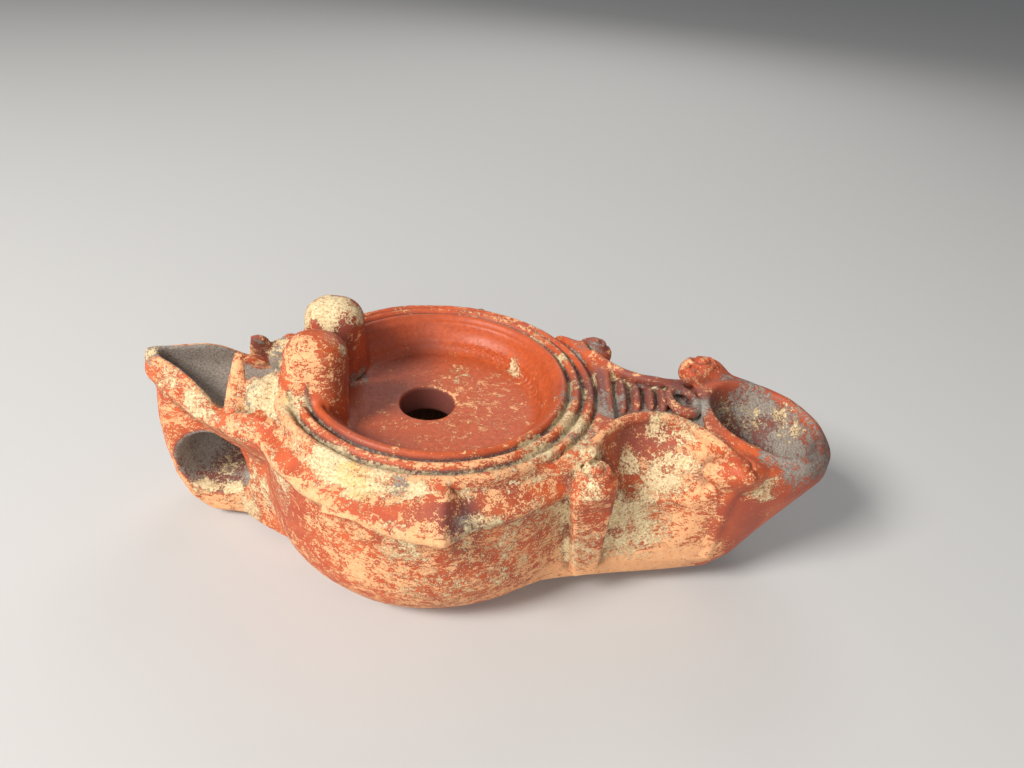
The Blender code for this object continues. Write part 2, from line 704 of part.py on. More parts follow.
def combine(shape, tool, operation):
    """Join a piece to the lamp, or cut it away."""
    step = shape.modifiers.new(tool.name, "BOOLEAN")
    step.operation = operation
    step.object = tool
    step.solver = "EXACT"


def clay_material():
    """Fired clay under a worn red slip."""
    material = bpy.data.materials.new("slipped_terracotta")
    material.use_nodes = True
    shader = material.node_tree.nodes["Principled BSDF"]
    shader.inputs["Base Color"].default_value = CLAY_COLOUR
    shader.inputs["Roughness"].default_value = CLAY_ROUGHNESS
    shader.inputs["Metallic"].default_value = 0.0
    material.diffuse_color = CLAY_COLOUR
    return material


def main():
    """Build the lamp: join the solids, hollow them, then add and cut the carving."""
    for old in list(bpy.data.objects):
        bpy.data.objects.remove(old)
    finished = new_collection("roman_oil_lamp")
    tools = new_collection("shaping_tools")

    lamp = make_bowl(finished)
    lamp.data.materials.append(clay_material())
    sides = ((-1, "near"), (1, "far"))

    solids = [make_nozzle(tools), make_handle(tools), make_leaf(tools)]
    cuts = [make_dish(tools), make_channel(tools), make_trough(tools)]
    for side, name in sides:
        centre = (SCOOP_X, side * SCOOP_Y, NECK_LEVEL)
        radii = (SCOOP_HALF_LENGTH, SCOOP_REACH, SCOOP_DEPTH)
        cuts.append(ball(f"scoop_{name}", centre, radii, tools, SCOOP_STEPS))
    carving = [make_wick_lip(tools)] + make_neck_relief(tools)
    for side, name in sides:
        carving.append(make_bowl_volute(side, name, tools))
        carving.append(make_nozzle_volute(side, name, tools))
        carving.append(make_lug(side, name, tools))
        carving.append(make_petal(side, name, tools))
        carving.append(make_lobe(side, name, tools))
    bores = [
        make_finger_hole(tools),
        make_reservoir(tools),
        make_nozzle_hollow(tools),
        make_wick_hole(tools),
        make_fill_hole(tools),
    ]

    for tool in solids:
        combine(lamp, tool, "UNION")
    for tool in cuts:
        combine(lamp, tool, "DIFFERENCE")
    for tool in carving:
        combine(lamp, tool, "UNION")
    for tool in bores:
        combine(lamp, tool, "DIFFERENCE")
    for tool in solids + cuts + carving + bores:
        tool.hide_render = True
        tool.display_type = "WIRE"


main()
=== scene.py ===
"""Looks of a Roman terracotta oil lamp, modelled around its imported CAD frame.

The lamp is one piece of fired clay. Each sub-assembly below adds clay to a grid of
signed distances or cuts it away, with soft joins as a potter's mould leaves them. The
grid is then skinned, worn, stained and dressed. Modelling sizes are in millimetres in
the frame of the part: +X to the nozzle, +Z up, origin at the centre of the base.
"""

from __future__ import annotations

import logging
import math
from dataclasses import dataclass, field
from enum import Enum
from typing import Callable, Mapping, Sequence

import bpy
import numpy as np
from mathutils import Matrix, Vector

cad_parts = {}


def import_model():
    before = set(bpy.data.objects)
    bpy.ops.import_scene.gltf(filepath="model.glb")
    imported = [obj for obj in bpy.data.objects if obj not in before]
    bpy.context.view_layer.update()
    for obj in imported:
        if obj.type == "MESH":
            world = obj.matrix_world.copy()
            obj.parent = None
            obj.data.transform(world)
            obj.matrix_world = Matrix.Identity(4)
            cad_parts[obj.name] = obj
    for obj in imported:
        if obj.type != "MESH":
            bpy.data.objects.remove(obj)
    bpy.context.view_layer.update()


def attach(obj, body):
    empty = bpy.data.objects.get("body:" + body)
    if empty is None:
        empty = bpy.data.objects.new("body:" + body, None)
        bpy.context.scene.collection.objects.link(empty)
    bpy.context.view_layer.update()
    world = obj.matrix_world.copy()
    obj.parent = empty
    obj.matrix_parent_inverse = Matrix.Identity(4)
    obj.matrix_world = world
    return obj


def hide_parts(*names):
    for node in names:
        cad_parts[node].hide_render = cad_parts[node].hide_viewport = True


MM = 0.001
# Signed distances are only followed this far from the surface, in millimetres.
FAR = 9.0
FINE_STEP = 0.5
LOG = logging.getLogger("oil_lamp")
Point = tuple[float, float, float]
Colour = tuple[float, float, float, float]
Grid = np.ndarray
Distance = Callable[[Grid, Grid, Grid], Grid]
Piece = bpy.types.Object
Node = bpy.types.Node
Tree = bpy.types.NodeTree
Socket = bpy.types.NodeSocket
Sockets = Mapping[str, Socket]


def mix(start: float, end: float, share: float) -> float:
    """Read the value that lies a share of the way from start to end."""
    return start + (end - start) * share


def soft_min(a: Grid, b: Grid, soft: float) -> Grid:
    """Join two distances with a fillet of about the given size.

    Args:
        a: distances from one form.
        b: distances from the other.
        soft: size of the fillet.

    Returns:
        The joined distances.
    """
    if soft <= 0.0:
        return np.minimum(a, b)
    share = np.clip(0.5 + 0.5 * (b - a) / soft, 0.0, 1.0)
    return b + (a - b) * share - soft * share * (1.0 - share)


def soft_max(a: Grid, b: Grid, soft: float) -> Grid:
    """Intersect two distances with a rounded edge of about the given size."""
    return -soft_min(-a, -b, soft)


def smooth_step(low: float, high: float, value: Grid) -> Grid:
    """Rise smoothly from 0 at low to 1 at high."""
    share = np.clip((value - low) / (high - low), 0.0, 1.0)
    return share * share * (3.0 - 2.0 * share)


# Forms


@dataclass(frozen=True)
class Form:
    """A shape in the clay: its box and its signed distance, on the +Y side and mirrored.

    Args:
        low: lowest corner of the shape.
        high: highest corner of the shape.
        distance: gives the signed distance at x, y and z.
    """

    low: Point
    high: Point
    distance: Distance


def ellipsoid(centre: Point, radii: Point) -> Form:
    """Make an ellipsoid.

    Args:
        centre: its middle.
        radii: its radius along each axis.

    Returns:
        The form.
    """

    def distance(x: Grid, y: Grid, z: Grid) -> Grid:
        """Signed distance of the ellipsoid.

        Args:
            x, y, z: places of the nodes.

        Returns:
            The distance, negative inside.
        """
        u, v, w = x - centre[0], y - centre[1], z - centre[2]
        near = np.sqrt((u / radii[0]) ** 2 + (v / radii[1]) ** 2 + (w / radii[2]) ** 2)
        steep = np.sqrt((u / radii[0] ** 2) ** 2 + (v / radii[1] ** 2) ** 2 + (w / radii[2] ** 2) ** 2)
        return near * (near - 1.0) / np.maximum(steep, 1e-4)

    low = tuple(c - r for c, r in zip(centre, radii))
    high = tuple(c + r for c, r in zip(centre, radii))
    return Form(low, high, distance)


def rod(foot: Point, head: Point, foot_radius: float, head_radius: float) -> Form:
    """Make a tapered rod with round ends.

    Args:
        foot: centre of the first end.
        head: centre of the second end.
        foot_radius: radius at the first end.
        head_radius: radius at the second end.

    Returns:
        The form.
    """
    way = [b - a for a, b in zip(foot, head)]
    length = sum(w * w for w in way)

    def distance(x: Grid, y: Grid, z: Grid) -> Grid:
        """Signed distance of the rod.

        Args:
            x, y, z: places of the nodes.

        Returns:
            The distance, negative inside.
        """
        u, v, w = x - foot[0], y - foot[1], z - foot[2]
        share = np.clip((u * way[0] + v * way[1] + w * way[2]) / length, 0.0, 1.0)
        out = np.sqrt((u - share * way[0]) ** 2 + (v - share * way[1]) ** 2 + (w - share * way[2]) ** 2)
        return out - (foot_radius + (head_radius - foot_radius) * share)

    wide = max(foot_radius, head_radius)
    low = tuple(min(a, b) - wide for a, b in zip(foot, head))
    high = tuple(max(a, b) + wide for a, b in zip(foot, head))
    return Form(low, high, distance)


class Side(Enum):
    """The side that the photograph shows, and the far one."""

    NEAR = -1.0
    FAR = 1.0


def on_side(form: Form, side: Side) -> Form:
    """Put a form that is given for y above 0 on one side of the lamp.

    Args:
        form: the form.
        side: side of the lamp.

    Returns:
        The form on that side.
    """
    across = sorted((form.low[1] * side.value, form.high[1] * side.value))

    def distance(x: Grid, y: Grid, z: Grid) -> Grid:
        """Distance on the side that was asked for."""
        return form.distance(x, y * side.value, z)

    low = (form.low[0], across[0], form.low[2])
    high = (form.high[0], across[1], form.high[2])
    return Form(low, high, distance)


class Turned:
    """A solid turned about the Z axis, from a closed profile of (radius, height) points."""

    step: float = 0.25

    def __init__(self, profile: Sequence[tuple[float, float]]) -> None:
        """Measure the profile on a fine table of radius and height.

        Args:
            profile: closed row of (radius, height).
        """
        points = np.array(profile, dtype=np.float64)
        self.top = float(points[:, 1].max())
        self.bottom = float(points[:, 1].min())
        self.wide = float(points[:, 0].max())
        self.floor = self.bottom - FAR
        radius = np.arange(0.0, self.wide + 2 * FAR, self.step)
        height = np.arange(self.floor, self.top + FAR, self.step)
        r, z = np.meshgrid(radius, height, indexing="ij")
        best = np.full(r.shape, 1e9)
        inside = np.zeros(r.shape, dtype=bool)
        for a, b in zip(points, np.roll(points, -1, axis=0)):
            if a[1] != b[1]:
                crosses = (z >= min(a[1], b[1])) & (z < max(a[1], b[1]))
                inside ^= crosses & (r < a[0] + (z - a[1]) * (b[0] - a[0]) / (b[1] - a[1]))
            if a[0] == 0.0 and b[0] == 0.0:
                continue
            way = b - a
            share = ((r - a[0]) * way[0] + (z - a[1]) * way[1]) / max(1e-9, float(way @ way))
            share = np.clip(share, 0.0, 1.0)
            best = np.minimum(best, (r - a[0] - share * way[0]) ** 2 + (z - a[1] - share * way[1]) ** 2)
        self.table = (np.sqrt(best) * np.where(inside, -1.0, 1.0)).astype(np.float32)

    def distance(self, x: Grid, y: Grid, z: Grid) -> Grid:
        """Read the signed distance from the table.

        Args:
            x, y, z: places of the nodes.

        Returns:
            The distance, negative inside.
        """
        across = np.sqrt(x * x + y * y) / self.step
        up = (z - self.floor) / self.step
        i = np.clip(across.astype(np.int32), 0, self.table.shape[0] - 2)
        k = np.clip(up.astype(np.int32), 0, self.table.shape[1] - 2)
        s = np.clip(across - i, 0.0, 1.0)
        t = np.clip(up - k, 0.0, 1.0)
        low = self.table[i, k] * (1 - s) + self.table[i + 1, k] * s
        high = self.table[i, k + 1] * (1 - s) + self.table[i + 1, k + 1] * s
        return low * (1 - t) + high * t

    def form(self) -> Form:
        """Give the turned solid as a form."""
        wide = self.wide
        return Form((-wide, -wide, self.bottom), (wide, wide, self.top), self.distance)


# The block of clay


class Clay:
    """A block of clay held as a grid of signed distances, negative inside.

    The +Y half is shaped first. mirror() doubles it, and the shapes that follow name their side.
    """

    margin: float = 2.0

    def __init__(self, low: Point, high: Point, step: float) -> None:
        """Start with an empty block between two corners.

        Args:
            low: lowest corner.
            high: highest corner.
            step: spacing of the nodes.
        """
        self.step = step
        self.axes = [np.arange(a, b + step, step, dtype=np.float32) for a, b in zip(low, high)]
        self.field = np.full([len(axis) for axis in self.axes], FAR, dtype=np.float32)

    def window(self, form: Form, spare: float) -> tuple[tuple[slice, ...], list[Grid]]:
        """Find the cells around a form.

        Args:
            form: the form.
            spare: how far past its box to go.

        Returns:
            The slices of the grid, and the x, y and z of its nodes, ready to broadcast.
        """
        spans, places = [], []
        for i, axis in enumerate(self.axes):
            first = int(np.searchsorted(axis, form.low[i] - spare))
            last = int(np.searchsorted(axis, form.high[i] + spare))
            spans.append(slice(first, last))
            shape = [1, 1, 1]
            shape[i] = last - first
            places.append(axis[first:last].reshape(shape))
        return tuple(spans), places

    def add(self, form: Form, soft: float = 1.0) -> None:
        """Press a form onto the clay, with a soft join."""
        span, (x, y, z) = self.window(form, soft + self.margin)
        self.field[span] = soft_min(self.field[span], form.distance(x, y, z), soft)

    def cut(self, form: Form, soft: float = 0.6) -> None:
        """Cut a form out of the clay, with a soft edge."""
        span, (x, y, z) = self.window(form, soft + self.margin)
        self.field[span] = soft_max(self.field[span], -form.distance(x, y, z), soft)

    def mirror(self) -> None:
        """Double the shaped +Y half into the whole block."""
        self.field = np.concatenate([self.field[:, :0:-1], self.field], axis=1)
        self.axes[1] = np.concatenate([-self.axes[1][:0:-1], self.axes[1]])

    def blurred(self, reach: float) -> Grid:
        """Average the distances over a cube that reaches so far each way.

        Args:
            reach: how far the cube goes, in millimetres.

        Returns:
            The averaged grid.
        """
        cells = max(1, round(reach / self.step))
        out = np.clip(self.field, -FAR, FAR)
        for axis in range(3):
            total = np.cumsum(out, axis=axis, dtype=np.float64)
            place = np.arange(out.shape[axis])
            ahead = np.take(total, np.clip(place + cells, 0, out.shape[axis] - 1), axis)
            behind = np.take(total, np.clip(place - cells - 1, 0, None), axis)
            out = ((ahead - behind) / (2 * cells + 1)).astype(np.float32)
        return out

    def sample(self, grid: Grid, points: Grid) -> Grid:
        """Read a grid at free points.

        Args:
            grid: values at the nodes.
            points: rows of x, y and z in millimetres.

        Returns:
            One value per point.
        """
        place = (points - np.array([axis[0] for axis in self.axes])) / self.step
        cell = np.clip(place.astype(np.int64), 0, np.array(grid.shape) - 2)
        s = np.clip(place - cell, 0.0, 1.0)
        total = np.zeros(len(points))
        for dx in (0, 1):
            for dy in (0, 1):
                for dz in (0, 1):
                    weight = (s[:, 0] if dx else 1 - s[:, 0]) * (s[:, 1] if dy else 1 - s[:, 1])
                    weight = weight * (s[:, 2] if dz else 1 - s[:, 2])
                    total += weight * grid[cell[:, 0] + dx, cell[:, 1] + dy, cell[:, 2] + dz]
        return total

    def skin(self) -> tuple[Grid, Grid]:
        """Lay a net of four-sided faces over the surface.

        Returns:
            The points in millimetres, and the corners of each face.
        """
        inside = self.field < 0.0
        count = np.zeros([n - 1 for n in self.field.shape], dtype=np.uint8)
        corners = [(a, b, c) for a in (0, 1) for b in (0, 1) for c in (0, 1)]
        nx, ny, nz = self.field.shape
        for a, b, c in corners:
            count += inside[a : nx - 1 + a, b : ny - 1 + b, c : nz - 1 + c]
        crossed = (count > 0) & (count < 8)
        cells = np.argwhere(crossed)
        index = np.full(crossed.shape, -1, dtype=np.int64)
        index[crossed] = np.arange(len(cells))
        values = [self.field[cells[:, 0] + a, cells[:, 1] + b, cells[:, 2] + c] for a, b, c in corners]
        total = np.zeros((len(cells), 3))
        hits = np.zeros(len(cells))
        for i in range(8):
            for j in range(i + 1, 8):
                way = np.subtract(corners[j], corners[i])
                if np.abs(way).sum() != 1:
                    continue
                cross = (values[i] < 0.0) != (values[j] < 0.0)
                share = values[i][cross] / (values[i][cross] - values[j][cross])
                total[cross] += np.array(corners[i]) + share[:, None] * way
                hits[cross] += 1
        points = (cells + total / hits[:, None]) * self.step + np.array([axis[0] for axis in self.axes])
        faces = [self.faces_along(inside, index, axis) for axis in range(3)]
        return points, np.concatenate(faces)

    def faces_along(self, inside: Grid, index: Grid, axis: int) -> Grid:
        """Make the faces that cross the grid's lines along one axis.

        Args:
            inside: which nodes lie in the clay.
            index: number of the point in each cell.
            axis: 0, 1 or 2.

        Returns:
            The corners of each face, turned outwards.
        """
        other = [(axis + 1) % 3, (axis + 2) % 3]
        first = np.moveaxis(inside, [axis, *other], [0, 1, 2])
        cells = np.moveaxis(index, [axis, *other], [0, 1, 2])
        lower, upper = first[:-1, 1:-1, 1:-1], first[1:, 1:-1, 1:-1]
        i, j, k = np.nonzero(lower != upper)
        outward = lower[i, j, k]
        quads = [cells[i, j, k], cells[i, j + 1, k], cells[i, j + 1, k + 1], cells[i, j, k + 1]]
        ring = np.stack(quads, axis=1)
        ring[~outward] = ring[~outward][:, ::-1]
        return ring


# Sizes that the sub-assemblies share


@dataclass(frozen=True)
class Plan:
    """Levels and radii of the whole lamp, as in the CAD part."""

    bowl_radius: float = 43.0
    curve_top: float = 19.0
    base_radius: float = 27.5
    seam_level: float = 35.0
    seam_proud: float = 1.0
    rim_level: float = 45.6
    rim_radius: float = 41.0
    rim_drop: float = 3.0
    discus_depth: float = 7.8
    wall: float = 4.8
    nozzle_wall: float = 4.2
    neck_level: float = 46.0
    scoop_x: float = 55.0
    arris_x: float = 70.0
    tip_x: float = 99.6
    top_slope: float = 0.155
    handle_tip_x: float = -73.4

    def nozzle_top(self, x: Grid) -> Grid:
        """Level of the nozzle's upper face, which falls towards the tip."""
        return self.neck_level - np.maximum(0.0, x - self.scoop_x) * self.top_slope

    def bowl_wall(self, wide: float, flat: float, low: float, count: int) -> list[tuple[float, float]]:
        """Profile of the bowl's wall down to its floor: a quarter of an ellipse.

        Args:
            wide: radius at the top of the curve.
            flat: radius of the floor.
            low: level of the floor.
            count: steps of the curve.

        Returns:
            Points of (radius, height).
        """
        points = []
        for i in range(count + 1):
            angle = math.pi / 2 * i / count
            across = flat + (wide - flat) * math.cos(angle)
            points.append((across, self.curve_top - (self.curve_top - low) * math.sin(angle)))
        return points


@dataclass
class Bowl:
    """The turned bowl: base, wall, seam, shoulder, moulded rings and sunk discus."""

    plan: Plan
    ring_count: int = 3
    ring_pitch: float = 3.45
    ring_height: float = 1.3
    ring_gap: float = 1.0
    groove_depth: float = 1.0
    rim_fall: float = 1.0
    floor_radius: float = 23.5
    slope_width: float = 5.8
    fill_radius: float = 7.0
    fill_x: float = -2.7
    fill_foot: float = 27.0
    collar: float = 3.0
    bead_share: float = 0.62
    bead_proud: float = 0.55

    def upper_profile(self) -> list[tuple[float, float]]:
        """Points of the discus and its rings, from the middle out to the rim.

        Returns:
            Points of (radius, height).
        """
        plan = self.plan
        floor = plan.rim_level - plan.discus_depth
        lip = self.floor_radius + self.slope_width
        points = [(0.0, floor - 0.25), (12.0, floor - 0.2), (self.floor_radius - 1.5, floor)]
        for i in range(1, 13):
            share = i / 12
            bead = self.bead_proud * math.exp(-(((share - self.bead_share) / 0.12) ** 2))
            points.append((self.floor_radius + share * (self.slope_width - 0.4) - bead, floor
                           + share**2.1 * (plan.discus_depth - 0.1) + 0.4 * bead))
        for ring in range(self.ring_count):
            base = plan.rim_level - self.rim_fall * (ring / 2) ** 2
            inner = lip + ring * self.ring_pitch + self.ring_gap / 2
            width = self.ring_pitch - self.ring_gap
            for share in (0.0, 0.06, 0.16, 0.3, 0.5, 0.7, 0.84, 0.94, 1.0):
                rise = math.sin(math.pi * share) ** 0.6 if 0 < share < 1 else 0.0
                points.append((inner + share * width, base + rise * self.ring_height))
            if ring + 1 < self.ring_count:
                points.append((inner + width + self.ring_gap / 2, base - self.groove_depth))
        return points[:-1]

    def outer_profile(self) -> list[tuple[float, float]]:
        """Points of the shoulder, seam, wall and base, from the rim down to the middle.

        Returns:
            Points of (radius, height).
        """
        plan = self.plan
        seam = plan.bowl_radius + plan.seam_proud
        points = [
            (39.3, 43.7), (39.2, 42.9), (40.1, 41.7), (41.9, 40.0), (seam - 0.2, 38.6),
            (seam + 0.2, 37.7), (seam, 36.5), (plan.bowl_radius, 34.9),
        ]
        points += plan.bowl_wall(plan.bowl_radius, plan.base_radius, 0.0, 18)
        points += [(23.9, 0.0), (23.4, 0.6), (23.0, 0.8), (22.6, 0.6), (22.1, 0.0), (0.0, 0.0)]
        return points

    def add_body(self, clay: Clay) -> None:
        """Turn the solid bowl."""
        clay.add(Turned(self.upper_profile() + self.outer_profile()).form(), 0.0)

    def clear_top(self, clay: Clay) -> None:
        """Cut what the nozzle and the handle left over the discus and its rings.

        Args:
            clay: the block of clay.
        """
        profile = self.upper_profile()
        ceiling = self.plan.rim_level + FAR
        profile += [(39.4, 43.5), (40.2, 44.0), (41.4, ceiling), (0.0, ceiling)]
        clay.cut(Turned(profile).form(), 0.25)

    def cut_hollow(self, clay: Clay) -> None:
        """Hollow the bowl and open its filling hole.

        Args:
            clay: the block of clay.
        """
        plan = self.plan
        roof = plan.rim_level - plan.discus_depth - plan.wall
        shoulder = plan.rim_level - plan.rim_drop - plan.wall
        profile = [(0.0, roof - self.collar), (11.0, roof - self.collar), (14.0, roof)]
        profile += [(self.floor_radius, roof), (33.2, shoulder), (36.2, shoulder)]
        profile.append((plan.bowl_radius - plan.wall, plan.seam_level - plan.wall / 2))
        profile += plan.bowl_wall(plan.bowl_radius - plan.wall, plan.base_radius - 2.4, plan.wall, 10)
        profile.append((0.0, plan.wall))
        clay.cut(Turned(profile).form(), 0.8)
        radius, middle = self.fill_radius, self.fill_x

        def bore(x: Grid, y: Grid, z: Grid) -> Grid:
            """Signed distance of the filling hole."""
            across = np.sqrt(((x - middle) / 0.98) ** 2 + y * y) - radius
            return np.maximum(across, self.fill_foot - z)

        low = (middle - radius, -radius, self.fill_foot)
        high = (middle + radius, radius, plan.neck_level)
        clay.cut(Form(low, high, bore), 0.7)


@dataclass
class Nozzle:
    """The volute nozzle: a deep keel with scooped flanks, relief on its neck and the wick hole."""

    plan: Plan
    root_x: float = 24.08
    half_width: float = 22.3
    root_half_width: float = 28.5
    underside: float = 4.6
    levels: tuple[float, ...] = (4.6, 6.7, 12.2, 20.5, 28.7, 34.3, 46.0)
    widths: tuple[float, ...] = (0.66, 0.80, 0.92, 0.97, 1.0, 1.01, 0.965)
    ends: tuple[float, ...] = (0.12, 0.28, 0.46, 0.66, 0.86, 1.0, 1.0)
    scoop_radii: Point = (17.8, 22.2, 14.6)
    scoop_middle: dict[Side, float] = field(default_factory=lambda: {Side.NEAR: 31.6, Side.FAR: 30.2})
    flank_middle: Point = (56.5, 36.4, 26.0)
    flank_radii: Point = (14.5, 14.6, 17.0)
    valley: tuple[Point, Point] = ((28.6, 32.8, 47.2), (35.6, 27.6, 47.2))
    valley_radius: float = 2.8
    relief_y: float = 1.4
    bars: tuple[tuple[float, float], ...] = ((46.0, 7.5), (49.6, 5.8), (53.0, 5.0), (56.2, 4.8))
    bar_half_width: float = 1.3
    bar_half_height: float = 2.4
    eye_x: float = 61.6
    eye_radii: tuple[float, float] = (3.5, 5.0)
    eye_roll: float = 1.25
    eye_pit: Point = (2.3, 3.2, 2.4)
    eye_pit_level: float = 44.2
    crest_end: dict[Side, float] = field(default_factory=lambda: {Side.NEAR: 25.5, Side.FAR: 18.5})
    crest_radius: float = 1.15
    channel_depth: float = 2.2
    channel_start: float = 43.5
    channel_end: float = 66.0
    wick_x: float = 82.3
    wick_radii: tuple[float, float] = (13.4, 14.2)
    wick_depth: float = 21.0
    wick_lean: float = 5.2
    lip_radius: float = 1.35

    def sides(self, x: Grid, y: Grid, z: Grid, inset: float = 0.0) -> Grid:
        """Signed distance from the walls, at each level.

        Args:
            x, y, z: places of the nodes.
            inset: thickness of the wall that is left, for the hollow.

        Returns:
            The distance, negative inside.
        """
        plan = self.plan
        width = np.interp(z, self.levels, self.widths).astype(np.float32) * self.half_width - inset
        share = np.interp(z, self.levels, self.ends).astype(np.float32)
        end = np.maximum((plan.tip_x - plan.arris_x) * share - 1.5 * inset, 2.0)
        root = self.root_half_width - inset
        along = np.clip((x - self.root_x) / (plan.arris_x - self.root_x), 0.0, 1.0)
        straight = (np.abs(y) - root - (width - root) * along) * 0.98
        u = np.maximum(x - plan.arris_x, 0.0) / end
        v = np.abs(y) / width
        level = u**1.82 + v**2.38 - 1.0
        steep = np.sqrt((1.82 * u**0.82 / end) ** 2 + (2.38 * v**1.38 / width) ** 2)
        rounded = np.maximum(level / np.maximum(steep, 0.02), -FAR)
        return np.where(x < plan.arris_x, straight, rounded)

    def solid(self, x: Grid, y: Grid, z: Grid) -> Grid:
        """Signed distance of the solid nozzle.

        Args:
            x, y, z: places of the nodes.

        Returns:
            The distance, negative inside.
        """
        side = self.sides(x, y, z)
        capped = soft_max(side, z - self.plan.nozzle_top(x), 1.6)
        return np.maximum(soft_max(capped, self.underside - z, 3.5), self.root_x - x)

    def add_body(self, clay: Clay) -> None:
        """Press the nozzle onto the bowl.

        Args:
            clay: the block of clay.
        """
        wide = self.root_half_width
        low = (self.root_x, -wide, self.underside)
        high = (self.plan.tip_x, wide, self.plan.neck_level)
        clay.add(Form(low, high, self.solid), 2.5)

    def scoop_distance(self, x: Grid, y: Grid, scoop_y: float) -> Grid:
        """Distance in plan from the outline of a scooped flank whose middle is at scoop_y.

        Args:
            x, y: places in plan.
            scoop_y: y of the scoop's middle.

        Returns:
            The distance, negative inside.
        """
        u, v = (x - self.plan.scoop_x), (y - scoop_y)
        a, b = self.scoop_radii[0], self.scoop_radii[1]
        near = np.sqrt((u / a) ** 2 + (v / b) ** 2)
        steep = np.sqrt((u / a**2) ** 2 + (v / b**2) ** 2)
        return near * (near - 1.0) / np.maximum(steep, 1e-3)

    def neck_half_width(self, x: Grid, side: Side) -> Grid:
        """Half the width of the neck on one side."""
        share = np.minimum(1.0, np.abs(x - self.plan.scoop_x) / self.scoop_radii[0])
        return self.scoop_middle[side] - self.scoop_radii[1] * np.sqrt(1.0 - share * share)

    def scoop(self, clay: Clay) -> None:
        """Cut the two scoops, the concave flanks under them and the valleys behind them.

        Args:
            clay: the block of clay.
        """
        flank = ellipsoid(self.flank_middle, self.flank_radii)
        valley = rod(*self.valley, self.valley_radius, self.valley_radius)
        for side in Side:
            middle = (self.plan.scoop_x, self.scoop_middle[side], self.plan.neck_level)
            clay.cut(on_side(ellipsoid(middle, self.scoop_radii), side), 0.8)
            clay.cut(on_side(flank, side), 1.6)
            clay.cut(on_side(valley, side), 1.0)

    def carve(self, clay: Clay) -> None:
        """Cut the channel on the neck, then raise the crests and the relief in it.

        Args:
            clay: the block of clay.
        """
        plan = self.plan

        def channel(x: Grid, y: Grid, z: Grid) -> Grid:
            """Signed distance of the channel.

            Args:
                x, y, z: places of the nodes.

            Returns:
                The distance, negative inside.
            """
            near = -y - (self.neck_half_width(x, Side.NEAR) - 1.5)
            far = y - (self.neck_half_width(x, Side.FAR) - 1.5)
            ends = np.maximum(self.channel_start - x, x - self.channel_end)
            floor = plan.nozzle_top(x) - self.channel_depth
            return soft_max(np.maximum(np.maximum(near, far), ends), floor - z, 1.0)

        clay.cut(Form((43.0, -24.0, 42.0), (67.0, 24.0, 52.0), channel), 0.5)
        for side in Side:
            clay.add(on_side(Form((36.0, 5.0, 40.0), (76.0, 27.0, 50.0), self.crest(side)), side), 1.0)
        for x, long in self.bars:
            level = float(plan.nozzle_top(np.float32(x))) - self.channel_depth + 0.3
            radii = (self.bar_half_width, long, self.bar_half_height)
            clay.add(ellipsoid((x, self.relief_y, level), radii), 0.3)
        clay.add(Form((55.0, -8.0, 39.0), (68.0, 9.0, 50.0), self.eye), 0.4)
        clay.cut(ellipsoid((self.eye_x, self.relief_y, self.eye_pit_level), self.eye_pit), 0.4)

    def crest(self, side: Side) -> Distance:
        """Give the distance of the raised crest that runs round a scoop on the upper face.

        Args:
            side: side of the lamp.

        Returns:
            The distance for y above 0.
        """

        def distance(x: Grid, y: Grid, z: Grid) -> Grid:
            """Signed distance of the crest.

            Args:
                x, y, z: places of the nodes.

            Returns:
                The distance, negative inside.
            """
            out = self.scoop_distance(x, y, self.scoop_middle[side]) - self.crest_radius * 0.6
            up = z - self.plan.nozzle_top(x) - 0.15
            line = np.sqrt(out * out + up * up) - self.crest_radius
            return np.maximum(line, y - self.crest_end[side])

        return distance

    def eye(self, x: Grid, y: Grid, z: Grid) -> Grid:
        """Signed distance of the oval ring that closes the neck's relief.

        Args:
            x, y, z: places of the nodes.

        Returns:
            The distance, negative inside.
        """
        u, v = (x - self.eye_x) / self.eye_radii[0], (y - self.relief_y) / self.eye_radii[1]
        out = (np.sqrt(u * u + v * v) - 1.0) * 4.0
        up = z - self.plan.nozzle_top(x) + 0.5
        return np.sqrt(out * out + up * up) - self.eye_roll

    def wick_oval(self, x: Grid, y: Grid, z: Grid, margin: float = 0.0) -> Grid:
        """Distance from the wick hole's wall, which narrows and leans back as it goes down.

        Args:
            x, y, z: places of the nodes.
            margin: how much wider to measure.

        Returns:
            The distance, negative inside.
        """
        depth = np.clip((self.plan.nozzle_top(x) - z) / self.wick_depth, 0.0, 1.0) ** 1.5
        scale = 1.0 - 0.5 * depth
        u = (x - self.wick_x + self.wick_lean * depth) / (self.wick_radii[0] * scale)
        v = y / (self.wick_radii[1] * scale)
        return (np.sqrt(u * u + v * v) - 1.0) * self.wick_radii[0] * scale - margin

    def add_wick_lip(self, clay: Clay) -> None:
        """Raise the low lip around the wick hole.

        Args:
            clay: the block of clay.
        """

        def lip(x: Grid, y: Grid, z: Grid) -> Grid:
            """Signed distance of the lip.

            Args:
                x, y, z: places of the nodes.

            Returns:
                The distance, negative inside.
            """
            out = self.wick_oval(x, y, z) - 1.3
            up = z - self.plan.nozzle_top(x) + 0.35
            return np.sqrt(out * out + up * up) - self.lip_radius

        clay.add(Form((64.0, -18.0, 36.0), (99.0, 18.0, 47.0), lip), 1.4)

    def cut_hollow(self, clay: Clay) -> None:
        """Hollow the nozzle and open the wick hole.

        Args:
            clay: the block of clay.
        """
        plan = self.plan
        floor = self.underside + plan.nozzle_wall
        roof = plan.neck_level - self.scoop_radii[2] - plan.nozzle_wall

        def hollow(x: Grid, y: Grid, z: Grid) -> Grid:
            """Signed distance of the nozzle's hollow.

            Args:
                x, y, z: places of the nodes.

            Returns:
                The distance, negative inside.
            """
            side = self.sides(x, y, z, plan.nozzle_wall)
            capped = soft_max(soft_max(side, z - roof, 2.0), floor - z, 3.0)
            return np.maximum(capped, self.root_x - x)

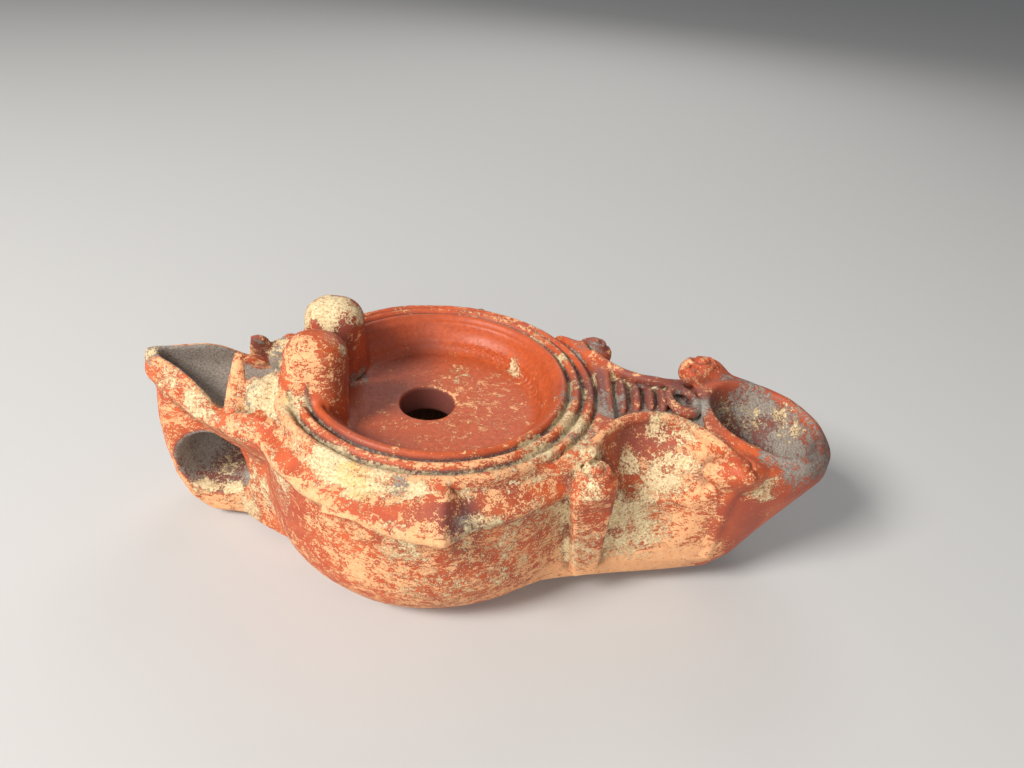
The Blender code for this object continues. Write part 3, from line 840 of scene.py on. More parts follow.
        def wick(x: Grid, y: Grid, z: Grid) -> Grid:
            """Signed distance of the wick hole."""
            return np.maximum(self.wick_oval(x, y, z), plan.nozzle_top(x) - self.wick_depth - z)

        clay.cut(Form((self.root_x, -26.0, floor), (96.0, 26.0, roof), hollow), 0.8)
        clay.cut(Form((66.0, -15.0, 17.0), (98.0, 15.0, 50.0), wick), 1.3)


@dataclass
class Volutes:
    """The scrolled volutes of one side: one on a pilaster by the bowl, one by the wick hole."""

    plan: Plan
    side: Side
    head_radii: Point = (5.5, 5.3, 5.3)
    pilaster_low: float = 10.0
    pilaster_high: float = 38.5
    knob: Point = (70.2, 21.7, 41.2)
    arris: tuple[Point, Point] = ((71.0, 21.6, 38.6), (70.4, 20.2, 14.0))
    shadow_top: Point = (45.6, 26.6, 39.5)
    shadow_middle: Point = (45.0, 27.0, 30.0)
    shadow_foot: Point = (44.8, 25.8, 12.0)
    scroll_groove: float = 0.55

    @property
    def head(self) -> Point:
        """Middle of the volute by the bowl, which sits differently on the two sides."""
        return (38.6, 27.0, 39.2) if self.side is Side.NEAR else (40.4, 27.0, 40.4)

    @property
    def knob_radii(self) -> Point:
        """Radii of the volute by the wick hole, which is worn down on the near side."""
        return (6.8, 3.3, 3.3) if self.side is Side.NEAR else (6.3, 4.6, 4.9)

    def pilaster(self, x: Grid, y: Grid, z: Grid) -> Grid:
        """Signed distance of the squared pilaster, which grows towards its volute.

        Args:
            x, y, z: places of the nodes.

        Returns:
            The distance, negative inside.
        """
        share = np.clip((z - self.pilaster_low) / (self.pilaster_high - self.pilaster_low), 0.0, 1.0)
        u = x - 38.8 + 1.8 * share
        v = y - 22.6 - 2.4 * share
        along = np.abs(0.95 * u - 0.31 * v) - 3.3 - 1.9 * share
        out = np.abs(0.31 * u + 0.95 * v) - 5.6 - 0.9 * share
        body = soft_max(along, out, 0.9)
        return soft_max(soft_max(body, self.pilaster_low - z, 1.2), z - self.pilaster_high, 2.0)

    def add_body(self, clay: Clay) -> None:
        """Raise the pilaster, both volutes and the arris, and cut the pilaster's shadow line.

        Args:
            clay: the block of clay.
        """
        low, high = (28.0, 15.0, self.pilaster_low), (45.0, 34.0, self.pilaster_high)
        raised = (
            (Form(low, high, self.pilaster), 1.0), (ellipsoid(self.head, self.head_radii), 0.9),
            (ellipsoid(self.knob, self.knob_radii), 3.2), (rod(*self.arris, 2.0, 1.5), 1.0),
        )
        for form, soft in raised:
            clay.add(on_side(form, self.side), soft)
        clay.cut(on_side(rod(self.shadow_top, self.shadow_middle, 1.3, 1.9), self.side), 0.6)
        clay.cut(on_side(rod(self.shadow_middle, self.shadow_foot, 1.9, 1.3), self.side), 0.6)

    def carve(self, clay: Clay) -> None:
        """Cut the spiral of each scroll into its crown.

        Args:
            clay: the block of clay.
        """
        for centre, radius, turn in ((self.head, 5.3, 1.0), (self.knob, 4.9, -1.0)):
            for reach in (0.40, 0.76):
                clay.cut(on_side(self.scroll(centre, radius * reach, radius, turn), self.side), 0.5)

    def scroll(self, centre: Point, reach: float, crown: float, turn: float) -> Form:
        """Make a round groove that opens into a spiral.

        Args:
            centre: middle of the volute.
            reach: radius of the groove.
            crown: radius of the volute.
            turn: 1 or -1, the way it opens.

        Returns:
            The groove as a form.
        """

        def distance(x: Grid, y: Grid, z: Grid) -> Grid:
            """Signed distance of the groove.

            Args:
                x, y, z: places of the nodes.

            Returns:
                The distance, negative inside.
            """
            u, v = x - centre[0], y - centre[1]
            across = np.sqrt(u * u + v * v)
            angle = np.arctan2(v, u) * turn
            out = across - reach - angle * crown * 0.05
            up = z - centre[2] - np.sqrt(np.maximum(crown * crown - across * across, 0.0)) * 0.95
            return np.sqrt(out * out + up * up) - self.scroll_groove

        low = (centre[0] - crown, centre[1] - crown, centre[2] - 1.0)
        high = (centre[0] + crown, centre[1] + crown, centre[2] + crown + 1.0)
        return Form(low, high, distance)


@dataclass
class Lugs:
    """The pointed lug that flares out of the shoulder's seam on one side."""

    plan: Plan
    side: Side
    angle: float = math.radians(81.0)
    reach: float = 6.3
    handle_spread: float = math.radians(38.0)
    nozzle_spread: float = math.radians(9.0)
    rise: float = 0.5
    root_level: float = 41.4
    seam_level: float = 38.2
    boss_tip: Point = (7.4, 49.9, 39.7)
    boss_crown: Point = (6.8, 38.6, 45.2)
    boss_inside: Point = (2.0, 42.0, 39.5)
    boss_root: float = 38.8

    def wing(self, x: Grid, y: Grid, z: Grid) -> Grid:
        """Signed distance of the flared wedge.

        Args:
            x, y, z: places of the nodes.

        Returns:
            The distance, negative inside.
        """
        plan = self.plan
        turn = np.arctan2(np.abs(y), x) - self.angle
        spread = np.where(turn > 0.0, self.handle_spread, self.nozzle_spread)
        out = np.maximum(0.0, 1.0 - np.abs(turn) / spread) ** np.where(turn > 0.0, 1.35, 0.9)
        tip = plan.bowl_radius + 0.8 + self.reach * out
        edge = self.seam_level + self.rise * out
        across = np.sqrt(x * x + y * y)
        root = plan.rim_radius - 3.8
        share = np.clip((across - root) / (tip - root), 0.0, 1.0)
        high = self.root_level + (edge - self.root_level) * share**0.8
        low = (1.0 - share) * (self.seam_level - 4.6) + share * (edge - 1.9)
        capped = soft_max((z - high) * 0.8, (low - z) * 0.9, 0.5)
        return np.maximum(soft_max(capped, across - tip, 0.6), root - across)

    def add_body(self, clay: Clay) -> None:
        """Press on the wedge and the two-faced boss that comes to its point.

        Args:
            clay: the block of clay.
        """
        side = self.side
        clay.add(on_side(Form((-34.0, 22.0, 31.0), (24.0, 51.0, 44.5), self.wing), side), 0.6)
        clay.add(on_side(Form((-16.0, 37.0, 34.0), (18.0, 51.0, 46.0), self.boss), side), 0.5)
        clay.cut(on_side(rod((13.4, 43.0, 42.0), (12.4, 48.6, 38.8), 1.2, 2.8), side), 0.8)

    def boss(self, x: Grid, y: Grid, z: Grid) -> Grid:
        """Signed distance of the boss: a long face to the handle and a short steep one.

        Args:
            x, y, z: places of the nodes.

        Returns:
            The distance, negative inside.
        """
        tip, crown = self.boss_tip, self.boss_crown
        faces = (
            (tip, crown, (-14.0, 41.6, 39.4)), (crown, tip, (13.0, 42.4, 37.4)),
            (tip, (13.4, 42.0, 36.4), (-13.0, 41.0, 36.6)),
        )
        away = np.full(np.broadcast(x, y, z).shape, -FAR, dtype=np.float32)
        for a, b, c in faces:
            normal = np.cross(np.subtract(b, a), np.subtract(c, a))
            normal = normal / np.linalg.norm(normal)
            flat = (x - a[0]) * normal[0] + (y - a[1]) * normal[1] + (z - a[2]) * normal[2]
            if np.dot(np.subtract(self.boss_inside, a), normal) > 0.0:
                flat = -flat
            away = soft_max(away, flat, 0.4)
        return np.maximum(away, self.boss_root - y)


@dataclass
class Handle:
    """The thick pierced handle under the leaf."""

    plan: Plan
    levels: tuple[float, ...] = (1.2, 2.9, 6.9, 13.0, 21.8, 29.9, 35.0, 42.0)
    backs: tuple[float, ...] = (-55.3, -62.9, -67.1, -69.4, -70.7, -71.1, -71.0, -70.2)
    widths: tuple[float, ...] = (0.88, 0.98, 1.0, 1.0, 1.0, 0.94, 0.84, 0.74)
    half_thickness: float = 10.2
    back_round: float = 6.0
    root_x: float = -21.5
    flare: float = 14.5
    hole: tuple[float, float] = (-56.0, 19.2)
    hole_radius: float = 8.6
    hole_flare: float = 1.1
    roof_level: float = 36.0
    roof_rise: float = 4.0

    def solid(self, x: Grid, y: Grid, z: Grid) -> Grid:
        """Signed distance of the unpierced handle.

        Args:
            x, y, z: places of the nodes.

        Returns:
            The distance, negative inside.
        """
        back = np.interp(z, self.levels, self.backs).astype(np.float32)
        width = np.interp(z, self.levels, self.widths).astype(np.float32) * self.half_thickness
        turn = back + self.back_round
        u = np.maximum(turn - x, 0.0) / self.back_round
        v = np.abs(y) / width
        level = u**2 + v**2.4 - 1.0
        steep = np.sqrt((2 * u / self.back_round) ** 2 + (2.4 * v**1.4 / width) ** 2)
        rounded = np.maximum(level / np.maximum(steep, 0.03), -FAR)
        start = self.hole[0] + self.hole_radius * 0.8
        spread = self.flare * np.clip((x - start) / (self.root_x - start), 0.0, 1.0) ** 0.8
        side = np.where(x < turn, rounded, np.abs(y) - width - spread)
        capped = soft_max(side, self.levels[0] - z, 3.0)
        roof = self.roof_level + self.roof_rise * smooth_step(-56.0, -68.0, x)
        return np.maximum(soft_max(capped, z - roof, 1.0), x - self.root_x)

    def add_body(self, clay: Clay) -> None:
        """Press the handle onto the bowl."""
        clay.add(Form((-72.0, -26.0, 1.0), (self.root_x, 26.0, 40.0), self.solid), 1.6)

    def pierce(self, clay: Clay) -> None:
        """Pierce the finger hole from side to side.

        Args:
            clay: the block of clay.
        """

        def bore(x: Grid, y: Grid, z: Grid) -> Grid:
            """Signed distance of the finger hole.

            Args:
                x, y, z: places of the nodes.

            Returns:
                The distance, negative inside.
            """
            wide = self.hole_flare * smooth_step(4.0, 11.5, -y)
            u, w = x - self.hole[0], z - self.hole[1] - 0.05 * y
            return np.sqrt(u * u + w * w) - self.hole_radius - wide

        clay.cut(Form((-68.0, -30.0, 8.0), (-45.0, 30.0, 31.0), bore), 1.2)


@dataclass
class Leaf:
    """The leaf on top of the handle, with its trough, petals and the web behind them."""

    plan: Plan
    tip_half_width: float = 3.4
    root_x: float = -34.0
    root_half_width: float = 25.0
    curve: float = 0.9
    inset: float = 3.4
    tip_height: float = 11.2
    root_height: float = 6.2
    dip: Point = (-50.5, 6.2, 5.0)
    tip_lift: float = 4.6
    trough_wall: float = 1.5
    trough_floor: float = 36.2
    trough_ends: tuple[float, float] = (-70.0, -41.0)
    petal_foot: Point = (-47.6, 12.6, 35.0)
    petal_sizes: dict[Side, tuple[float, float]] = field(
        default_factory=lambda: {Side.NEAR: (51.4, 3.0), Side.FAR: (48.6, 4.8)}
    )
    lumps: tuple[tuple[Point, Point], ...] = (
        ((-40.0, 11.4, 40.6), (4.4, 3.2, 6.4)), ((-38.2, 8.6, 42.6), (4.0, 3.4, 5.0)),
        ((-42.6, 9.0, 40.4), (3.0, 2.6, 6.0)),
    )

    def half_width(self, x: Grid) -> Grid:
        """Half the width of the leaf at its widest level."""
        share = np.clip((x - self.plan.handle_tip_x) / (self.root_x - self.plan.handle_tip_x), 0.0, 1.4)
        return self.tip_half_width + (self.root_half_width - self.tip_half_width) * share**self.curve

    def top(self, x: Grid) -> Grid:
        """Level of the trough's edge, which dips before the petals.

        Args:
            x: places along the lamp.

        Returns:
            The level at each x.
        """
        share = (x - self.plan.handle_tip_x) / (self.root_x - self.plan.handle_tip_x)
        dip = np.exp(-(((x - self.dip[0]) / self.dip[1]) ** 2))
        height = self.plan.seam_level + self.tip_height + (self.root_height - self.tip_height) * share
        return height - self.dip[2] * dip

    def solid(self, x: Grid, y: Grid, z: Grid) -> Grid:
        """Signed distance of the solid leaf.

        Args:
            x, y, z: places of the nodes.

        Returns:
            The distance, negative inside.
        """
        seam = self.plan.seam_level
        top = self.top(x)
        lift = self.tip_lift * smooth_step(-54.0, -72.0, x)
        up = z - lift
        under = np.interp(up, (seam - 7.2, seam - 2.0, seam + 0.6), (1.5 * self.inset, 2.0, 0.0))
        under = under.astype(np.float32)
        over = self.inset * np.clip((up - seam - 1.2) / (top - lift - seam - 1.2), 0.0, 1.3)
        back = np.interp(z, (seam - 7.2, seam + 3.4, seam + 6.2, seam + 9.0), (4.4, 3.0, 0.4, 0.0))
        tip = self.plan.handle_tip_x + back.astype(np.float32)
        side = (np.abs(y) - self.half_width(x) + under + over) * 0.8
        body = soft_max(side, tip - x, 1.2)
        body = soft_max(body, z - top, 0.9)
        return np.maximum(np.maximum(body, seam - 7.2 - z), x - self.root_x - 4.8)

    def add_body(self, clay: Clay) -> None:
        """Press the leaf on top of the handle."""
        tip = self.plan.handle_tip_x
        clay.add(Form((tip, -28.0, 27.0), (-29.0, 28.0, 47.0), self.solid), 1.0)

    def carve(self, clay: Clay) -> None:
        """Sink the trough."""
        clay.cut(Form((-70.0, -20.0, 34.0), (-38.0, 20.0, 54.0), self.trough), 0.9)

    def dress_up(self, clay: Clay) -> None:
        """Raise the petals, and the lumpy web that joins each of them to a lobe.

        Args:
            clay: the block of clay.
        """
        for side in Side:
            petal = self.flame(*self.petal_sizes[side])
            clay.add(on_side(Form((-54.0, 2.0, 34.0), (-41.0, 15.5, 52.5), petal), side), 0.6)
            for middle, radii in self.lumps:
                clay.add(on_side(ellipsoid(middle, radii), side), 1.0)

    def trough(self, x: Grid, y: Grid, z: Grid) -> Grid:
        """Signed distance of the space over the trough.

        Args:
            x, y, z: places of the nodes.

        Returns:
            The distance, negative inside.
        """
        start, end = self.trough_ends
        middle = mix(start, end, 0.6)
        floor = self.trough_floor + 5.4 * ((x - middle) / (start - middle)) ** 2
        side = np.abs(y) - (self.half_width(x) - self.inset - self.trough_wall)
        sunk = soft_max(side * 0.85, floor - z, 3.2)
        return soft_max(sunk, np.maximum(start - x, x - end), 1.4)

    def flame(self, top: float, wide: float) -> Distance:
        """Give the distance of a flat petal that leans inwards.

        Args:
            top: level of its tip.
            wide: half its width at the foot.

        Returns:
            The distance for a petal on the side where y is above 0.
        """

        def distance(x: Grid, y: Grid, z: Grid) -> Grid:
            """Signed distance of the petal.

            Args:
                x, y, z: places of the nodes.

            Returns:
                The distance, negative inside.
            """
            share = np.clip((z - self.petal_foot[2]) / (top - self.petal_foot[2]), 0.0, 1.0)
            lean = self.petal_foot[1] - 6.4 * share**1.2
            long = wide * (1.0 - 0.62 * share**1.6)
            thick = 1.9 - 0.9 * share
            u, v = np.abs(x - self.petal_foot[0] - 0.6 * share) / long, np.abs(y - lean) / thick
            out = ((u**1.7 + v**1.7) ** (1 / 1.7) - 1.0) * 1.6
            return soft_max(out, z - top, 0.8)

        return distance


@dataclass
class Lobes:
    """The thumb-shaped lobe that stands on the rings on one side of the handle."""

    plan: Plan
    side: Side
    middle: tuple[float, float] = (-27.8, 8.8)
    half_length: float = 7.3
    half_width: float = 6.5
    top: float = 59.8
    foot: float = 38.6
    spread: float = 3.2

    def solid(self, x: Grid, y: Grid, z: Grid) -> Grid:
        """Signed distance of one lobe.

        Args:
            x, y, z: places of the nodes.

        Returns:
            The distance, negative inside.
        """
        crown = self.top - self.half_width
        share = np.clip((z - self.foot) / (crown - self.foot), 0.0, 1.0)
        wide = self.spread * (1.0 - share)
        u = np.abs(x - self.middle[0] + wide / 2) / (self.half_length + wide / 2)
        v = np.abs(y - self.middle[1] - wide) / (self.half_width + wide / 2)
        w = np.maximum(z - crown, 0.0) / self.half_width
        near = (u**2.35 + v**2.35 + w**2.35) ** (1 / 2.35)
        return np.maximum((near - 1.0) * self.half_width, self.foot - z)

    def add_body(self, clay: Clay) -> None:
        """Stand the lobe on the rings."""
        form = Form((-42.0, 0.0, self.foot), (-16.0, 21.0, self.top), self.solid)
        clay.add(on_side(form, self.side), 1.5)


# Wear


class StainAndShade(Enum):
    """What lies on the clay, and where shade is painted on it, one value per vertex for each."""

    LIME = "lime"
    OCHRE = "ochre"
    ASH = "ash"
    BARE = "bare"
    SOOT = "soot"
    DARK = "dark"


# x, y and z of each stain's middle, its radius and its strength, from the handle to the nozzle.
STAINS_AND_SHADE: dict[StainAndShade, tuple[tuple[float, ...], ...]] = {
    StainAndShade.LIME: (
        (-72, -1, 45, 3, 0.9), (-65, -7, 42, 5, 0.6), (-60, -10, 10, 3, 0.7),
        (-58, -10, 40, 4, 0.7), (-57, -11, 39, 5, 0.8), (-54, -12, 39, 4, 0.7),
        (-52, -11, 10, 4, 0.7), (-51, -12, 37, 5, 0.6), (-47, -12, 5, 4, 0.9),
        (-44, -16, 37, 6, 0.7), (-42, -14, 16, 6, 0.7), (-40, -12, 44, 6, 0.95),
        (-40, 9, 44, 6, 0.9), (-33, -29, 34, 6, 0.7), (-33, 7, 56, 5, 1.1), (-30, -18, 46, 3, 0.8),
        (-28, 2, 55, 2, 0.8), (-28, 6, 60, 6, 1.25), (-22, 7, 57, 4, 0.9), (-21, -10, 57, 2, 0.8),
        (-19, -35, 44, 5, 0.8), (-12, -40, 41, 4, 0.7), (-8, -13, 38, 2, 0.7),
        (-8, 13, 38, 2.2, 0.6), (-7, -37, 44, 4, 0.5), (-3, -47, 35, 7, 0.5), (0, -43, 18, 6, 0.5),
        (1, -40, 43, 3, 0.6), (4, 13, 38, 3, 0.6), (4, 35, 46, 4, 0.6), (10, -42, 16, 8, 0.45),
        (13, -43, 38, 3.5, 0.7), (13, -7, 38, 3.2, 0.8), (18, -42, 37, 3.5, 0.8),
        (18, -39, 21, 8, 0.5), (18, 8, 38, 2.6, 0.6), (19, 18, 39, 2.6, 0.8), (22, -37, 27, 8, 0.6),
        (24, -24, 46, 4, 0.8), (27, -37, 38, 3.5, 0.6), (29, -31, 30, 8, 0.65),
        (30, -7, 46, 4, 0.6), (31, -14, 46, 4, 0.9), (33, 1, 45, 3.5, 0.9), (37, -32, 41, 4, 0.8),
        (37, -25, 44, 4, 0.8), (38, -28, 19, 6, 0.75), (41, 7, 46, 4, 0.6), (44, 11, 44, 3, 0.8),
        (46, 1, 44, 3, 0.5), (47, -16, 37, 4, 0.9), (48, -25, 18, 5, 0.8), (48, 5, 45, 4, 0.5),
        (49, -25, 28, 8, 0.95), (54, -24, 21, 7, 0.8), (54, -9, 43, 4, 0.8), (55, -24, 29, 5, 0.6),
        (56, -17, 34, 6, 0.95), (57, 6, 45, 4, 0.5), (59, -15, 36, 5, 0.8), (60, -9, 44, 5, 0.7),
        (78, 6, 36, 9, 0.6), (80, -21, 37, 4, 0.7), (80, 13, 36, 5, 0.5), (86, 12, 34, 5, 0.6),
        (92, 9, 38, 6, 0.7), (94, 7, 36, 5, 0.6), (99, 6, 39, 3, 0.9),
    ),
    StainAndShade.OCHRE: (
        (-33, -15, 46, 2.4, 1), (-13, -38, 44, 3, 0.8), (-11, -41, 40, 3, 0.7),
    ),
    StainAndShade.ASH: (
        (-71, 0, 46, 4.5, 1), (-46, 3, 37, 5, 0.7), (-40, -12, 44, 5, 0.6), (-38, -8, 46, 3.5, 0.6),
        (-22, 7, 39, 3.5, 0.8), (-3, -40, 44, 3.4, 1), (11, -45, 38, 4, 0.8), (32, -5, 46, 3, 0.8),
        (35, -18, 45, 4, 0.8), (37, 22, 44, 4, 0.7), (40, 25, 44, 3, 0.8), (42, -9, 46, 3.5, 1),
        (42, -3, 46, 4, 0.6), (61, 3, 44, 2.2, 1), (66, -1, 44, 4, 0.9), (70, 2, 44, 3, 0.7),
        (74, 6, 36, 6, 0.6), (76, -4, 33, 7, 0.6), (80, -16, 42, 4, 0.9), (82, -18, 42, 4, 0.7),
        (85, -16, 41, 4.5, 1), (87, -16, 41, 6, 1), (89, 16, 41, 5, 0.5), (90, -14, 40, 4.5, 1),
        (92, 4, 36, 7, 0.5), (93, -11, 40, 7, 0.9), (96, 8, 40, 6, 0.7), (98, -3, 39, 6, 0.8),
    ),
    StainAndShade.BARE: (
        (-47, -10, 44, 5, 0.4), (-26, -15, 56, 6, 0.6), (-24, -15, 51, 4, 0.6),
        (-20, -38, 37, 5, 0.7), (-13, -41, 22, 5, 0.7), (-3, -43, 26, 10, 0.5),
        (-2, -46, 40, 5, 0.4), (5, -49, 36, 5, 0.5), (10, 6, 38, 12, 0.5), (26, -32, 42, 4, 0.3),
        (40, -25, 9, 6, 0.7), (49, -24, 11, 7, 0.8), (61, -22, 13, 8, 0.9), (63, -23, 25, 5, 0.6),
        (64, -13, 40, 4, 0.6), (71, -21, 15, 5, 0.8), (78, -21, 36, 4, 0.7), (93, 3, 32, 5, 0.5),
    ),
    StainAndShade.SOOT: (
        (70, -7, 38, 6, 0.5), (93, -12, 40, 5, 0.5), (97, -6, 40, 6, 0.6),
    ),
    # Besides darker-fired slip, some DARK patches are painted shade: the lobes' shadow on the left of the
    # discus, the shaded right faces of the near lobe and the lug, the pilaster's shadow line and the
    # facet past the arris.
    StainAndShade.DARK: (
        (-46, 7, 45, 5, 0.9), (-27, 6, 52, 7, 1), (-22, -9, 50, 6, 0.5), (-18, 18, 42, 9, 0.5),
        (-16, 4, 38, 12, 0.4), (-15, -28, 47, 8, 0.3), (-12, -20, 39, 9, 0.5),
        (-3, -42, 40, 4, 0.5), (2, -43, 42, 4, 0.5), (11, -44, 40, 6, 1), (19, -37, 42, 7, 0.4),
        (40, 27, 44, 5, 0.8), (41, 2, 46, 9, 0.9), (43, -22, 38, 5, 0.7), (44, -27, 34, 3, 0.9),
        (45, -27, 24, 3, 0.8), (48, -12, 40, 9, 0.8), (53, 1, 45, 8, 0.6), (54, -12, 38, 7, 0.6),
        (64, 4, 44, 8, 0.7), (76, -20, 28, 9, 0.5), (76, 0, 36, 12, 0.9), (80, 14, 42, 8, 0.5),
        (81, 11, 31, 9, 0.8), (92, -14, 30, 8, 0.4),
    ),
}


@dataclass
class Wear:
    """Uneven surface, listed patches of stain and painted shade, and worn edges, worked out at each
    vertex.

    Args:
        seed: start of the random lattice.
        lattice: side of the random lattice.
        twin_limit: stains nearer the viewer than this y have a twin on the far side.
        twin_strength: strength of a twin, as a share of its stain's.
    """

    seed: int = 79
    lattice: int = 48
    twin_limit: float = -12.0
    twin_strength: float = 0.85
    values: Grid = field(init=False)

    def __post_init__(self) -> None:
        """Draw the random lattice once."""
        self.values = np.random.default_rng(self.seed).random((self.lattice,) * 3)

    def noise(self, points: Grid, size: float, octaves: int = 3) -> Grid:
        """Smooth noise from -1 to 1.

        Args:
            points: rows of x, y and z in millimetres.
            size: width of the largest bumps.
            octaves: how many finer layers are added.

        Returns:
            One value per point.
        """
        total = np.zeros(len(points))
        weight = 1.0
        for octave in range(octaves):
            place = points / size * 2.0**octave + 17.3 * (octave + 1)
            cell = np.floor(place).astype(np.int64)
            s = place - cell
            s = s * s * (3.0 - 2.0 * s)
            value = np.zeros(len(points))
            for corner in range(8):
                step = np.array([corner & 1, corner >> 1 & 1, corner >> 2 & 1])
                node = (cell + step) % self.lattice
                share = np.where(step, s, 1.0 - s).prod(axis=1)
                value += share * self.values[node[:, 0], node[:, 1], node[:, 2]]
            total += weight * (value * 2.0 - 1.0)
            weight *= 0.5
        return total

    def stains_and_shade(self, points: Grid) -> dict[StainAndShade, Grid]:
        """Spread each listed stain and patch of painted shade, with a ragged edge, and its fainter twin
        on the far side.

        Args:
            points: rows of x, y and z in millimetres.

        Returns:
            One value per vertex for each kind of stain.
        """
        found = {kind: np.zeros(len(points)) for kind in StainAndShade}
        ragged = self.noise(points, 5.0) * 0.4
        for kind, stains_and_shade in STAINS_AND_SHADE.items():
            for x, y, z, radius, strength in stains_and_shade:
                places = [(np.array([x, y, z], dtype=float), strength)]
                if y < self.twin_limit:
                    twin = np.array([x * 0.93 + 2.0, -y, z * 0.96], dtype=float)
                    places.append((twin, strength * self.twin_strength))
                for place, power in places:
                    away = np.sqrt(((points - place) ** 2).sum(axis=1)) / (radius * 1.25)
                    patch = power * smooth_step(1.25, 0.35, away + ragged * 0.6)
                    found[kind] = np.maximum(found[kind], patch)
        return found


# Shader building


class Graph:
    """Short ways to build a shader's nodes; a value fed to one is an output or a plain value.

    Args:
        tree: the node tree that is built.
    """

    def __init__(self, tree: Tree) -> None:
        """Hold the tree."""
        self.tree = tree

    def node(self, kind: str, **settings: object) -> Node:
        """Add a node and set its options.

        Args:
            kind: Blender's name for the node.
            settings: its options.

        Returns:
            The node.
        """
        node = self.tree.nodes.new(kind)
        for name, value in settings.items():
            setattr(node, name, value)
        return node

    def feed(self, socket: Socket, value: object) -> None:
        """Link an output to a socket, or set the socket's own value.

        Args:
            socket: the input.
            value: an output, or a plain value.
        """
        if isinstance(value, Socket):
            self.tree.links.new(value, socket)
        else:
            socket.default_value = value

    def make(self, kind: str, inputs: Mapping[object, object], output: object,
             **settings: object) -> Socket:
        """Add a node, feed its inputs and give one of its outputs.

        Args:
            kind: Blender's name for the node.
            inputs: what to feed, by name or number of the input.
            output: name or number of the output.
            settings: options of the node.

        Returns:
            The output.
        """
        node = self.node(kind, **settings)
        for name, value in inputs.items():
            self.feed(node.inputs[name], value)
        return node.outputs[output]

    def math(self, operation: str, a: object, b: object = 0.0, clamp: bool = False) -> Socket:
        """Combine two numbers."""
        return self.make("ShaderNodeMath", {0: a, 1: b}, 0, operation=operation, use_clamp=clamp)

    def add(self, a: object, b: object) -> Socket:
        """Add two numbers."""
        return self.math("ADD", a, b)

    def less(self, a: object, b: object, clamp: bool = False) -> Socket:
        """Take b away from a."""
        return self.math("SUBTRACT", a, b, clamp)

    def times(self, a: object, b: object, clamp: bool = False) -> Socket:
        """Multiply two numbers."""
        return self.math("MULTIPLY", a, b, clamp)

    def blend(self, share: object, a: object, b: object) -> Socket:
        """Mix two colours."""
        inputs = {"Factor": share, "A": a, "B": b}
        return self.make("ShaderNodeMix", inputs, "Result", data_type="RGBA", blend_type="MIX")

    def blend_value(self, share: object, a: object, b: object) -> Socket:
        """Mix two numbers."""
        inputs = {"Factor": share, "A": a, "B": b}
        return self.make("ShaderNodeMix", inputs, "Result", data_type="FLOAT")

    def step(self, value: object, low: object, high: object) -> Socket:
        """Rise smoothly from 0 to 1 between two limits."""
        inputs = {"Value": value, "From Min": low, "From Max": high}
        return self.make("ShaderNodeMapRange", inputs, "Result", interpolation_type="SMOOTHSTEP")

    def noise(self, vector: object, scale: float, detail: float = 4.0, rough: float = 0.6,
              twist: float = 0.0) -> Socket:
        """Make a noise pattern; scale counts its bumps per millimetre."""
        inputs = {"Vector": vector, "Scale": scale, "Detail": detail, "Roughness": rough}
        return self.make("ShaderNodeTexNoise", {**inputs, "Distortion": twist}, "Fac")

    def cells(self, vector: object, scale: float) -> Socket:
        """Make a pattern of distances to scattered points."""
        return self.make("ShaderNodeTexVoronoi", {"Vector": vector, "Scale": scale}, "Distance")

    def stretch(self, vector: object, scale: Point) -> Socket:
        """Scale a vector along each axis."""
        inputs = {0: vector, 1: scale}
        return self.make("ShaderNodeVectorMath", inputs, "Vector", operation="MULTIPLY")

    def use(self, group: Tree, **inputs: object) -> Node:
        """Place a node group and feed its inputs by name.

        Args:
            group: the node group.
            inputs: what to feed, by name of the input.

        Returns:
            The placed group.
        """
        node = self.node("ShaderNodeGroup", node_tree=group)
        for name, value in inputs.items():
            self.feed(node.inputs[name], value)
        return node


